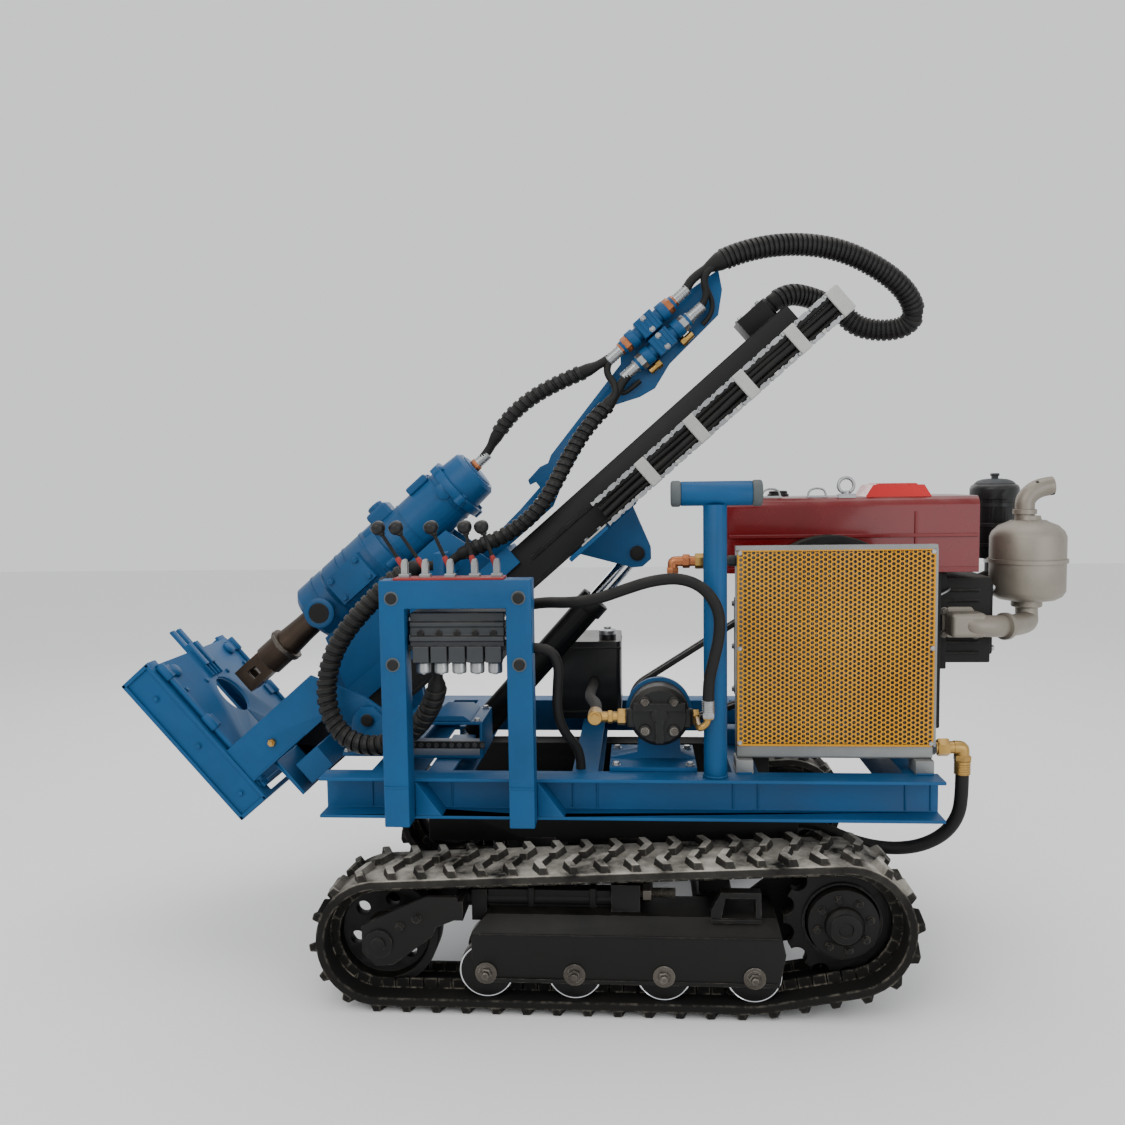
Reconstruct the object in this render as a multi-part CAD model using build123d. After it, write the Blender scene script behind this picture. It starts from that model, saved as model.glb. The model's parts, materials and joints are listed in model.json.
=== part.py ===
import os
from math import asin, atan2, cos, degrees, hypot, pi, radians, sin, tan

from build123d import *

# Crawler drilling rig, in mm. +X points to the engine end, +Y to the far side, +Z up.
# The origin is on the ground, half way along the tracks and between them.

# Tracks and running gear
track_width = 200.0
track_outer_y = 550.0
lug_height = 18.0
lug_base = 44.0
lug_top = 28.0
belt_thickness = 21.0
belt_links = 44
sprocket_x = 550.0
sprocket_z = 220.0
sprocket_belt_r = 139.0
sprocket_teeth = 13
idler_x = -553.0
idler_belt_r = 133.0
roller_r = 65.7
first_roller_x = -295.0
roller_pitch = 211.0
roller_count = 4
rolling_gap = 0.3
frame_plate = 8.0
frame_left = -313.0
frame_right = 395.0
frame_bottom = 82.0
frame_bend_z = 200.0
frame_top_z = 236.0
frame_top_inset = 34.0
tensioner_r = 22.0

# Chassis
rail_front = -708.0
rail_rear = 788.0
rail_bottom = 457.0
rail_height = 100.0
rail_outer_y = 480.0
rail_flange = 73.0
rail_wall = 8.0
cross_width = 64.0
deck_top = 653.0
deck_wall = 8.0
cross_places = (-562.0, -420.0, -60.0, 330.0, 740.0)

# Valve stand, on the near rail
stand_front_y = -545.0
post_width = 60.0
stand_left = -530.0
stand_right = -172.0
stand_top = 1045.0
stand_bar = 67.0
plug_r = 12.0
bank_bottom = 845.0
bank_top = 965.0
bank_sections = 5
bank_pitch = 43.0
lever_bases = (-474.0, -425.0, -366.0, -308.0, -256.0)
knob_places = (-535.0, -492.0, -409.0, -330.0, -290.0)
knob_z = 1165.0
knob_r = 17.0
hose_loop_y = -310.0

# Mast, drawn level along s with n square to it, and then raised by its angle
mast_angle = 41.0
mast_pivot_x = -640.0
mast_pivot_z = 650.0
mast_half_width = 250.0
beam_bottom_n = 875.0
beam_depth = 120.0
beam_half_width = 80.0
beam_low_s = -330.0
beam_high_s = 1490.0
head_axis_n = 1230.0
skirt_low_s = -510.0
guide_s = -412.0
guide_low_n = 960.0
guide_high_n = 1400.0
guide_plate = 10.0
guide_bore_r = 62.0
cheek_plate = 12.0
cheek_low_n = 990.0

# Cable chain on the near side of the beam
chain_low_s, chain_high_s = 751.0, 1600.0
chain_low_n, chain_high_n = 867.0, 947.0
chain_y0, chain_y1 = -164.0, -80.0
chain_bars = (924.0, 1093.0, 1263.0, 1437.0, 1578.0)

# Lift cylinder
lift_base_x = -420.0
lift_base_z = 520.0
lift_lug_x = 72.0
lift_lug_z = 1068.0
lift_barrel_r = 38.0
lift_rod_r = 22.0
lift_barrel_length = 560.0
pin_r = 12.5
pin_gap = 0.05
cheek_gap = 1.0
rod_eye_gap = 0.3

# Drill head
gearbox_r = 92.0
motor_r = 78.0
gearbox_low_s = -60.0
gearbox_high_s = 210.0
motor_high_s = 568.0
carriage_low_s = -150.0
carriage_high_s = 500.0
carriage_plate = 14.0
slide_gap = 0.5
chuck_low_s = -343.0
chuck_r = 45.0
arm_high_s = 1432.0
bulkhead_low_s, bulkhead_high_s = 1095.0, 1280.0
bulkhead_rows = (1144.0, 1206.0)
bulkhead_y = -38.0

# Engine, exhaust and cooler
hood_left = 309.0
hood_right = 959.0
hood_bottom = 1019.0
hood_top = 1218.0
hood_half_width = 150.0
block_left = 360.0
block_right = 870.0
block_half_width = 135.0
block_bottom = 600.0
head_half_width = 95.0
crank_x = 571.0
crank_z = 911.0
flywheel_r = 210.0
flywheel_width = 47.0
flywheel_gap = 8.0
engine_pulley_r = 130.0
head_end = 1010.0
muffler_clear = 28.0
filter_clear = 31.0
filter_r = 68.0
muffler_r = 98.0
muffler_bottom = 926.0
muffler_top = 1146.0
cooler_left = 311.0
cooler_right = 777.0
cooler_bottom = 590.0
cooler_top = 1100.0
cooler_front_y = -400.0
cooler_depth = 48.0
post_y = -440.0
post_r = 28.0
guard_bottom = 622.0
pump_x = 123.0
pump_z = 692.0
pump_front_y = -400.0
pump_r = 74.0
pump_pulley_r = 72.0
belt_plane_y = -240.0

muffler_x = head_end + muffler_clear + muffler_r
filter_x = head_end + filter_clear + filter_r
rail_top = rail_bottom + rail_height
ground_run_z = lug_height + belt_thickness
idler_z = ground_run_z + idler_belt_r
track_inner_y = track_outer_y - track_width
track_mid_y = (track_outer_y + track_inner_y) / 2
rise_x = first_roller_x + roller_pitch * (roller_count - 1) + 6.0

nodes = {}


def block(x0, x1, y0, y1, z0, z1):
    return Pos((x0 + x1) / 2, (y0 + y1) / 2, (z0 + z1) / 2) * Box(x1 - x0, y1 - y0, z1 - z0)


def side_profile(points, y0, y1):
    """A flat outline in X and Z, as thick as from y0 to y1."""
    face = make_face(Polyline(*points, close=True))
    return extrude(Plane(origin=(0, y1, 0), x_dir=(1, 0, 0), z_dir=(0, -1, 0)) * face, amount=y1 - y0)


def end_profile(points, x0, x1):
    """A flat outline in Y and Z, as long as from x0 to x1."""
    face = make_face(Polyline(*points, close=True))
    return extrude(Plane(origin=(x0, 0, 0), x_dir=(0, 1, 0), z_dir=(1, 0, 0)) * face, amount=x1 - x0)


def across(x, z, y0, y1, r):
    """A round bar along Y."""
    return Pos(x, (y0 + y1) / 2, z) * Rot(90, 0, 0) * Cylinder(r, y1 - y0)


def upright(x, y, z0, z1, r):
    return Pos(x, y, (z0 + z1) / 2) * Cylinder(r, z1 - z0)


def lengthwise(y, z, x0, x1, r):
    return Pos((x0 + x1) / 2, y, z) * Rot(0, 90, 0) * Cylinder(r, x1 - x0)


def turned_across(x, z, profile):
    """A body turned about an axis along Y, from (y, r) pairs that start and end on the axis."""
    face = make_face(Polyline(*[(r, y) for y, r in profile], close=True))
    plane = Plane(origin=(x, 0, z), x_dir=(1, 0, 0), z_dir=(0, 0, 1))
    return revolve(plane * face, axis=Axis((x, 0, z), (0, 1, 0)))


def turned_lengthwise(y, z, profile):
    """A body turned about an axis along X, from (x, r) pairs that start and end on the axis."""
    face = make_face(Polyline(*[(x, r) for x, r in profile], close=True))
    plane = Plane(origin=(0, y, z), x_dir=(1, 0, 0), z_dir=(0, -1, 0))
    return revolve(plane * face, axis=Axis((0, y, z), (1, 0, 0)))


def bar(start, end, r):
    direction = Vector(*end) - Vector(*start)
    return Plane(origin=start, z_dir=direction) * Pos(0, 0, direction.length / 2) * Cylinder(r, direction.length)


def mirrored(shape):
    return shape.mirror(Plane.XZ)


def on_mast(shape):
    return Rot(0, -mast_angle, 0) * shape


def mast_sn(x, z):
    """A point of the machine's side view in the mast's own s and n."""
    c, s = cos(radians(mast_angle)), sin(radians(mast_angle))
    return x * c + z * s, -x * s + z * c


def mast_xz(s, n):
    c, k = cos(radians(mast_angle)), sin(radians(mast_angle))
    return s * c - n * k, s * k + n * c


def hose(name, points, diameter):
    """A hose along straight runs joined by arcs as large as the runs allow."""
    corners = [Vector(*p) for p in points]
    radii = []
    for a, b, c in zip(corners, corners[1:], corners[2:]):
        turn = radians((b - a).get_angle(c - b))
        radii.append(0.45 * min((b - a).length, (c - b).length) / tan(turn / 2))
    path = FilletPolyline(*points, radius=radii)
    start = Plane(origin=points[0], z_dir=corners[1] - corners[0])
    tube = sweep(start * Circle(diameter / 2), path=path)
    ratio = tube.volume / (pi * diameter**2 / 4 * path.length)
    print(f"{name}: length {path.length:.0f}, smallest bend radius {min(radii):.0f}, volume ratio {ratio:.4f}")
    return tube


# Belt: one loop round sprocket and idler, flat on the ground and rising behind the last roller


def belt_segments(offset):
    """Lines and arcs of the belt's loop at a distance from its inner face, as a table."""
    rise = sprocket_z - ground_run_z
    reach = hypot(sprocket_x - rise_x, rise)
    climb = atan2(rise, sprocket_x - rise_x) - asin(sprocket_belt_r / reach)
    top = atan2(sprocket_z - idler_z, sprocket_x - idler_x)
    top += asin((sprocket_belt_r - idler_belt_r) / hypot(sprocket_x - idler_x, sprocket_z - idler_z))
    rs, ri = sprocket_belt_r + offset, idler_belt_r + offset
    low_z = ground_run_z - offset
    corner = (rise_x + offset * tan(climb / 2), low_z)
    off_climb = (sprocket_x + rs * sin(climb), sprocket_z - rs * cos(climb))
    on_top = (sprocket_x - rs * sin(top), sprocket_z + rs * cos(top))
    off_top = (idler_x - ri * sin(top), idler_z + ri * cos(top))
    start = (idler_x, low_z)
    return [
        ("line", start, corner),
        ("line", corner, off_climb),
        ("arc", (sprocket_x, sprocket_z), rs, climb - pi / 2, top + pi / 2),
        ("line", on_top, off_top),
        ("arc", (idler_x, idler_z), ri, top + pi / 2, 3 * pi / 2),
    ]


def belt_wire(offset):
    edges = []
    for segment in belt_segments(offset):
        if segment[0] == "line":
            edges.append(Line(segment[1], segment[2]))
        else:
            _, (cx, cz), r, a0, a1 = segment
            turns = [a0, (a0 + a1) / 2, a1]
            edges.append(ThreePointArc(*[(cx + r * cos(a), cz + r * sin(a)) for a in turns]))
    return make_face(edges)


def belt_places(offset, count, shift):
    """Evenly spaced points along the loop, each with the direction of the belt there."""
    segments = belt_segments(offset)
    lengths = []
    for segment in segments:
        if segment[0] == "line":
            lengths.append(hypot(segment[2][0] - segment[1][0], segment[2][1] - segment[1][1]))
        else:
            lengths.append(segment[2] * (segment[4] - segment[3]))
    pitch = sum(lengths) / count
    places = []
    for i in range(count):
        left = (i + shift) * pitch
        for segment, length in zip(segments, lengths):
            if left <= length:
                break
            left -= length
        if segment[0] == "line":
            (x0, z0), (x1, z1) = segment[1], segment[2]
            t = left / length
            places.append((x0 + (x1 - x0) * t, z0 + (z1 - z0) * t, atan2(z1 - z0, x1 - x0)))
        else:
            _, (cx, cz), r, a0, _ = segment
            a = a0 + left / r
            places.append((cx + r * cos(a), cz + r * sin(a), a + pi / 2))
    return places


def half_belt(shift):
    """The belt's outline in X and Z with its lugs, shifted by a share of the lug pitch."""
    sink = 6.0
    outline = belt_wire(belt_thickness) - belt_wire(0)
    foot = lug_base / 2 + sink * (lug_base - lug_top) / lug_height / 2
    lug = make_face(Polyline((-foot, sink), (foot, sink), (lug_top / 2, -lug_height), (-lug_top / 2, -lug_height), close=True))
    lugs = [
        Pos(x, z) * Rot(0, 0, degrees(direction)) * lug
        for x, z, direction in belt_places(belt_thickness, belt_links, shift)
    ]
    return outline + lugs


def extrude_side(face, y0, y1):
    return extrude(Plane(origin=(0, y1, 0), x_dir=(1, 0, 0), z_dir=(0, -1, 0)) * face, amount=y1 - y0)


near_half = extrude_side(half_belt(0.0), -track_outer_y, -track_mid_y)
inner_half = extrude_side(half_belt(0.5), -track_mid_y, -track_inner_y)
track = near_half + inner_half
nodes["track_near"] = track
nodes["track_far"] = mirrored(track)

# Sprocket: a plate with hollows between its teeth, on the hub of its drive motor
tooth_tip_r = sprocket_belt_r - rolling_gap
hollow_r = 23.0
drive_face_y = track_inner_y + 5.0 + frame_plate + rolling_gap
gear = Cylinder(tooth_tip_r, 34)
gear -= [
    Rot(0, 0, 360 / sprocket_teeth * i) * Pos(tooth_tip_r + 1, 0) * Cylinder(hollow_r, 60)
    for i in range(sprocket_teeth)
]
sprocket = Pos(sprocket_x, -track_mid_y - 10, sprocket_z) * Rot(90, 0, 0) * gear
sprocket += turned_across(
    sprocket_x,
    sprocket_z,
    [(-529, 0), (-529, 34), (-520, 46), (-505, 46), (-505, 84), (-462, 84), (-462, 66), (-drive_face_y, 66), (-drive_face_y, 0)],
)
nodes["sprocket_near"] = sprocket
nodes["sprocket_far"] = mirrored(sprocket)

# Idler: a spoked rim between the arms of its yoke
idler = turned_across(
    idler_x,
    idler_z,
    [(-531, 0), (-531, 26), (-500, 26), (-500, 40), (-464, 48), (-464, 108), (-488, 112), (-488, idler_belt_r - rolling_gap),
     (-412, idler_belt_r - rolling_gap), (-412, 112), (-436, 108), (-436, 48), (-400, 40), (-400, 26), (-369, 26), (-369, 0)],
)
idler -= [
    across(idler_x + 78 * cos(a), idler_z + 78 * sin(a), -500, -400, 17)
    for a in [2 * pi / 6 * i + 0.3 for i in range(6)]
]
nodes["idler_near"] = idler
nodes["idler_far"] = mirrored(idler)

# Rollers: a spool with two treads, its axle ends in the frame's side plates
plate_out_y = track_outer_y - 5.0
plate_in_y = track_inner_y + 5.0
roller_z = ground_run_z + rolling_gap + roller_r
axle_out = plate_out_y - frame_plate - rolling_gap
axle_in = plate_in_y + frame_plate + rolling_gap
rollers = []
for i in range(roller_count):
    rollers.append(
        turned_across(
            first_roller_x + roller_pitch * i,
            roller_z,
            [(-axle_out, 0), (-axle_out, 24), (-axle_out + 6, 30), (-axle_out + 6, roller_r), (-axle_out + 42, roller_r),
             (-axle_out + 52, 42), (-axle_in - 52, 42), (-axle_in - 42, roller_r), (-axle_in - 6, roller_r),
             (-axle_in - 6, 30), (-axle_in, 24), (-axle_in, 0)],
        )
    )
nodes["rollers_near"] = Compound(rollers)
nodes["rollers_far"] = Compound([mirrored(r) for r in rollers])

# Track frame: a folded plate box open below, with the tensioner, the idler's yoke and the drive plate
outer_section = [
    (-plate_out_y, frame_bottom),
    (-plate_out_y, frame_bend_z),
    (-plate_out_y + frame_top_inset, frame_top_z),
    (-plate_in_y - frame_top_inset, frame_top_z),
    (-plate_in_y, frame_bend_z),
    (-plate_in_y, frame_bottom),
]
wall = frame_plate
inner_section = [
    (-plate_out_y + wall, frame_bottom - 1),
    (-plate_out_y + wall, frame_bend_z - wall),
    (-plate_out_y + frame_top_inset, frame_top_z - 1.6 * wall),
    (-plate_in_y - frame_top_inset, frame_top_z - 1.6 * wall),
    (-plate_in_y - wall, frame_bend_z - wall),
    (-plate_in_y - wall, frame_bottom - 1),
]
side_outline = [
    (frame_left, frame_bottom + 14),
    (frame_left + 14, frame_bottom),
    (frame_right, frame_bottom),
    (frame_right + 16, frame_bottom + 80),
    (frame_right - 2, frame_top_z + 1),
    (frame_left + 20, frame_top_z + 1),
    (frame_left - 16, frame_bend_z),
    (frame_left - 16, frame_bottom + 60),
]
side_frame = end_profile(outer_section, frame_left - 16, frame_right + 16)
side_frame -= end_profile(inner_section, frame_left - 17, frame_right + 17)
side_frame &= side_profile(side_outline, -plate_out_y - 1, -plate_in_y + 1)
drive_plate = side_profile(
    [(frame_right - 60, 120), (frame_right + 20, 110), (sprocket_x + 40, 150), (sprocket_x + 76, sprocket_z),
     (sprocket_x + 40, 290), (frame_right + 20, 300), (frame_right - 60, frame_top_z)],
    -plate_in_y - frame_plate,
    -plate_in_y,
)
side_frame += drive_plate
tensioner_z = frame_top_z + tensioner_r - 4
side_frame += lengthwise(-track_mid_y, tensioner_z, -350, 3, tensioner_r)
side_frame += block(3, 72, -track_mid_y - 40, -track_mid_y + 40, frame_top_z - 4, frame_top_z + 66)
side_frame += block(-337, -300, -track_mid_y - 30, -track_mid_y + 30, frame_top_z - 30, tensioner_z + tensioner_r + 6)
gusset = side_profile(
    [(239, frame_top_z - 6), (239, 262), (262, 304), (355, 304), (355, frame_top_z - 6)], -530, -500
) - side_profile([(262, frame_top_z + 6), (272, 290), (342, 290), (342, frame_top_z + 6)], -531, -499)
side_frame += gusset
yoke_outline = [(-594, 150), (-594, 214), (-560, 232), (-436, 288), (-360, 288), (-360, 236), (-413, 214), (-424, 190), (-520, 120), (-560, 116)]
yoke_hub_gap = 0.3
for y0, y1 in ((-545, -531 - yoke_hub_gap), (-369 + yoke_hub_gap, -355)):
    side_frame += side_profile(yoke_outline, y0, y1)
side_frame += block(-372, -348, -545, -355, tensioner_z - 22, tensioner_z + 24)
nodes["track_frame_near"] = side_frame
nodes["track_frame_far"] = mirrored(side_frame)

# Carbody: cross beams from track frame to track frame, with two rails up to the chassis
carbody = block(-470, 470, -330, -250, 350, rail_bottom) + block(-470, 470, 250, 330, 350, rail_bottom)
for x in (-180, 60, 260):
    carbody += block(x - 45, x + 45, -plate_in_y, plate_in_y, 130, 226)
    carbody += block(x - 38, x + 38, -332, -312, 220, 360) + block(x - 38, x + 38, 312, 332, 220, 360)
    carbody += block(x - 10, x + 10, -320, 320, 225, 352)
nodes["carbody"] = carbody

# Chassis: two channels that open outwards, joined by cross channels
rail_web_y = rail_outer_y - rail_flange + rail_wall
rail_section = [
    (-rail_outer_y, rail_bottom),
    (-rail_web_y + rail_wall, rail_bottom),
    (-rail_web_y + rail_wall, rail_top),
    (-rail_outer_y, rail_top),
    (-rail_outer_y, rail_top - rail_wall),
    (-rail_web_y, rail_top - rail_wall),
    (-rail_web_y, rail_bottom + rail_wall),
    (-rail_outer_y, rail_bottom + rail_wall),
]
rail = end_profile(rail_section, rail_front, rail_rear)
chassis = rail + mirrored(rail)
cross_end = rail_web_y - rail_wall
for x in cross_places:
    half = cross_width / 2
    cross = block(x - half, x + half, -cross_end, cross_end, rail_bottom, rail_top)
    hollow = block(x - half + rail_wall, x + half + 1, -cross_end, cross_end, rail_bottom + rail_wall, rail_top - rail_wall)
    chassis += cross - hollow
stiffener = side_profile([(0, 0), (64, 0), (0, 84)], -rail_outer_y + 2, -rail_web_y)
for x in (stand_left + post_width, stand_right):
    chassis += Pos(x, 0, rail_bottom + rail_wall) * stiffener
lift_ear = side_profile(
    [(lift_base_x - 30, rail_bottom + 20), (lift_base_x + 30, rail_bottom + 20), (lift_base_x + 30, lift_base_z),
     (lift_base_x + 14, lift_base_z + 26), (lift_base_x - 14, lift_base_z + 26), (lift_base_x - 30, lift_base_z)],
    0,
    12,
)
lift_eye_half = 22.0
barrel_room = lift_barrel_r + 10
chassis -= block(lift_base_x - 60, lift_base_x + 60, -barrel_room, barrel_room, rail_bottom + 20, rail_top + 1)
for y in (-lift_eye_half - cheek_gap - 12, lift_eye_half + cheek_gap):
    chassis += Pos(0, y, 0) * lift_ear
chassis += across(lift_base_x, lift_base_z, -lift_eye_half - cheek_gap - 18, lift_eye_half + cheek_gap + 18, pin_r)
nodes["chassis_frame"] = chassis

# Mast hinge feet on the chassis: a base plate and two ears each side, with the pivot pins
foot_inner = mast_half_width - cheek_plate - cheek_gap
foot_outer = mast_half_width + cheek_gap
ear_outline = [(-700, rail_top), (-588, rail_top), (-600, mast_pivot_z + 8), (-622, mast_pivot_z + 32),
               (-658, mast_pivot_z + 32), (-680, mast_pivot_z + 8)]
feet = []
for side in (-1, 1):
    base = block(-704, -584, min(side * 205, side * 285), max(side * 205, side * 285), rail_top, rail_top + 12)
    foot = base
    for y0, y1 in ((foot_inner - 14, foot_inner), (foot_outer, foot_outer + 14)):
        foot += side_profile(ear_outline, min(side * y0, side * y1), max(side * y0, side * y1))
    y0, y1 = side * (foot_inner - 20), side * (foot_outer + 20)
    foot += across(mast_pivot_x, mast_pivot_z, min(y0, y1), max(y0, y1), pin_r + 5)
    feet.append(foot)
nodes["hinge_feet"] = Compound(feet)

# Deck box behind the stand, with the slew plate's row of holes left to the finish
nodes["deck_box"] = block(-540, -330, -300, -120, rail_top, deck_top) - block(
    -540 + deck_wall, -330 - deck_wall, -301, -119, rail_top + deck_wall, deck_top - deck_wall
)

# Valve stand: a flat portal in front of the near rail
stand_back_y = -rail_outer_y
stand = block(stand_left, stand_right, stand_front_y, stand_back_y, rail_bottom, stand_top)
stand -= block(
    stand_left + post_width, stand_right - post_width, stand_front_y - 1, stand_back_y + 1, rail_bottom - 1, stand_top - stand_bar
)
post_centres = (stand_left + post_width / 2, stand_right - post_width / 2)
stand += [
    across(x, z, stand_front_y - 6, stand_front_y, plug_r) for x in post_centres for z in (847, 1003)
]
stand += block(-452, -412, stand_back_y, hose_loop_y + 34, 1018, 1030)
stand += block(-440, -412, hose_loop_y - 34, hose_loop_y + 34, 1018, 1094)
nodes["valve_stand"] = stand

# Valve bank in the opening: sections side by side, with spring caps hanging below
bank_y0, bank_y1 = stand_front_y + 12, stand_back_y + 52
bank_left = (stand_left + stand_right) / 2 - bank_pitch * bank_sections / 2
bank = block(stand_left + post_width, stand_right - post_width, bank_y0 + 10, bank_y1, bank_bottom + 30, bank_bottom + 44)
for i in range(bank_sections):
    x = bank_left + bank_pitch * (i + 0.5)
    bank += block(x - bank_pitch / 2 + 2, x + bank_pitch / 2 - 2, bank_y0, bank_y1, bank_bottom, bank_top)
    bank += upright(x, (bank_y0 + bank_y1) / 2 - 8, bank_bottom - 32, bank_bottom + 2, 16)
bank += block(bank_left + 4, bank_left + bank_pitch * bank_sections - 4, bank_y0 + 14, bank_y1 - 10, bank_bottom + 12, bank_top - 12)
nodes["valve_bank"] = bank

# Levers on a top plate, each a clevis block, a stick and a knob
lever_y = -508.0
levers = block(stand_left + 34, stand_right - 64, stand_front_y + 2, stand_back_y - 2, stand_top, stand_top + 6)
for base_x, knob_x in zip(lever_bases, knob_places):
    levers += block(base_x - 9, base_x + 9, lever_y - 12, lever_y + 12, stand_top + 5, stand_top + 34)
    foot = Vector(base_x, lever_y, stand_top + 26)
    stick = Vector(knob_x, lever_y, knob_z) - foot
    outline = [(0, 0), (4, 0), (4, stick.length - knob_r), (knob_r - 4, stick.length - knob_r + 2), (knob_r, stick.length - 4),
               (knob_r, stick.length + 4), (knob_r - 5, stick.length + knob_r - 3), (knob_r - 9, stick.length + knob_r),
               (0, stick.length + knob_r)]
    turned = revolve(Plane.XZ * make_face(Polyline(*outline, close=True)), axis=Axis.Z)
    levers += Plane(origin=foot, z_dir=stick) * turned
nodes["valve_levers"] = levers

# Engine: crankcase with its head to the rear, on two bearers across the chassis
bearer_y = (-120.0, 120.0)
engine = block(block_left, block_right, -block_half_width, block_half_width, block_bottom, hood_bottom)
engine += block(block_right, head_end, -head_half_width, head_half_width, 770, 1000)
engine += block(block_left + 60, block_right - 60, -block_half_width - 30, block_half_width + 30, block_bottom, block_bottom + 40)
for y in bearer_y:
    engine += block(298, 772, y - 30, y + 30, rail_top, block_bottom)
nodes["engine_block"] = engine

hood = block(hood_left, hood_right, -hood_half_width, hood_half_width, hood_bottom, hood_top)
hood = fillet(hood.edges().filter_by(Axis.X).group_by(Axis.Z)[-1], 28)
cap_left, cap_right, cap_height = 671.0, 843.0, 30.0
cap_slope = 20.0
hood += side_profile(
    [(cap_left, hood_top - 2), (cap_right, hood_top - 2), (cap_right - cap_slope, hood_top + cap_height), (cap_left + cap_slope, hood_top + cap_height)],
    -130, 10,
)
nodes["engine_hood"] = hood

# Flywheel and drive pulley, on the crank's near end
fly_y1 = -block_half_width
fly_y0 = fly_y1 - flywheel_gap - 12 - flywheel_width
flywheel = turned_across(
    crank_x, crank_z,
    [(fly_y0 + 14, 0), (fly_y0 + 14, flywheel_r - 46), (fly_y0, flywheel_r - 36), (fly_y0, flywheel_r),
     (fly_y0 + flywheel_width, flywheel_r), (fly_y0 + flywheel_width, 60), (fly_y1, 60), (fly_y1, 0)],
)
flywheel += across(crank_x, crank_z, belt_plane_y - 30, fly_y0 + 14, engine_pulley_r - 10)
nodes["flywheel"] = flywheel

# Pump on its pedestal: gear pump, bearing housing and pulley
pump_back_y = pump_front_y + 74
pump = turned_across(
    pump_x, pump_z,
    [(pump_front_y, 0), (pump_front_y, pump_r - 10), (pump_front_y + 10, pump_r), (pump_back_y, pump_r), (pump_back_y, 0)],
)
pump += block(pump_x - 62, pump_x + 62, pump_front_y - 10, pump_front_y + 2, pump_z + 16, pump_z + 34)
pump += block(pump_x - 9, pump_x + 9, pump_front_y - 10, pump_front_y + 2, pump_z - 64, pump_z + 20)
pump_port_x = pump_x + 82.0
for side in (-1, 1):
    reach_x = pump_x + side * (pump_port_x - pump_x)
    pump += lengthwise(pump_front_y + 30, pump_z - 8, min(pump_x, reach_x), max(pump_x, reach_x), 22)
nodes["pump"] = pump
housing_y1 = belt_plane_y - 36
pump_mount = turned_across(
    pump_x, pump_z,
    [(pump_back_y, 0), (pump_back_y, pump_r + 8), (pump_back_y + 16, pump_r + 8), (pump_back_y + 16, 62),
     (housing_y1, 62), (housing_y1, 0)],
)
pump_mount += side_profile(
    [(0, rail_top), (214, rail_top), (214, rail_top + 12), (pump_x + 55, rail_top + 26), (pump_x + 45, pump_z), (pump_x - 45, pump_z),
     (pump_x - 55, rail_top + 26), (0, rail_top + 12)], pump_back_y + 4, housing_y1 - 4,
)
pump_mount += block(0, 214, -cross_end, -190, rail_top, rail_top + 10)
nodes["pump_mount"] = pump_mount
pulley = turned_across(
    pump_x, pump_z,
    [(housing_y1, 0), (housing_y1, 30), (belt_plane_y - 32, 30), (belt_plane_y - 32, pump_pulley_r - 8), (belt_plane_y + 32, pump_pulley_r - 8),
     (belt_plane_y + 32, 0)],
)
nodes["pump_pulley"] = pulley

# Drive belts: two tight loops round both pulleys
span = hypot(crank_x - pump_x, crank_z - pump_z)
lean = atan2(crank_z - pump_z, crank_x - pump_x)


def belt_loop(r_pump, r_engine):
    spread = asin((r_engine - r_pump) / span)
    high = lean + spread + pi / 2
    low = lean - spread - pi / 2
    ends = [(pump_x, pump_z, r_pump), (crank_x, crank_z, r_engine)]
    (x0, z0, r0), (x1, z1, r1) = ends
    return make_face(
        [
            Line((x0 + r0 * cos(low), z0 + r0 * sin(low)), (x1 + r1 * cos(low), z1 + r1 * sin(low))),
            ThreePointArc(
                (x1 + r1 * cos(low), z1 + r1 * sin(low)), (x1 + r1 * cos(lean), z1 + r1 * sin(lean)),
                (x1 + r1 * cos(high), z1 + r1 * sin(high)),
            ),
            Line((x1 + r1 * cos(high), z1 + r1 * sin(high)), (x0 + r0 * cos(high), z0 + r0 * sin(high))),
            ThreePointArc(
                (x0 + r0 * cos(high), z0 + r0 * sin(high)), (x0 - r0 * cos(lean), z0 - r0 * sin(lean)),
                (x0 + r0 * cos(low), z0 + r0 * sin(low)),
            ),
        ]
    )


belt_ring = belt_loop(pump_pulley_r + 4, engine_pulley_r + 2) - belt_loop(pump_pulley_r - 8 + 0.3, engine_pulley_r - 10 + 0.3)
nodes["drive_belts"] = Compound(
    [extrude_side(belt_ring, y - 9, y + 9) for y in (belt_plane_y - 14, belt_plane_y + 14)]
)

# Air filter and exhaust at the cylinder head
filter_y = 190.0
intake_x = head_end - 65
intake_start = (intake_x, head_half_width + 0.3, 950)
intake = FilletPolyline(
    intake_start, (intake_x, filter_y - 20, 950), (filter_x - 60, filter_y, 950), (filter_x, filter_y, 975), (filter_x, filter_y, 1032),
    radius=[45, 40, 24],
)
air_filter = sweep(Plane(origin=intake_start, z_dir=(0, 1, 0)) * Circle(24), path=intake)
air_filter += upright(filter_x, filter_y, 1030, 1210, filter_r - 6)
canister = upright(filter_x, filter_y, 1200, 1244, filter_r)
air_filter += fillet(canister.edges().group_by(Axis.Z)[-1], 16)
nodes["air_filter"] = air_filter
muffler = Pos(muffler_x, 0, (muffler_bottom + muffler_top) / 2) * Cylinder(muffler_r, muffler_top - muffler_bottom)
muffler = fillet(muffler.edges().filter_by(GeomType.CIRCLE), 26)
muffler += Pos(muffler_x, 0, (muffler_bottom + muffler_top) / 2) * Cylinder(muffler_r + 5, 8)
port_x = head_end - 85
pipe_start = (port_x, -head_half_width - 10, 880)
pipe_path = FilletPolyline(
    pipe_start, (port_x + 5, -head_half_width - 55, 880), (muffler_x - 76, -110, 872), (muffler_x + 10, -30, 868), (muffler_x, 0, muffler_bottom + 6),
    radius=[26, 90, 32],
)
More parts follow.
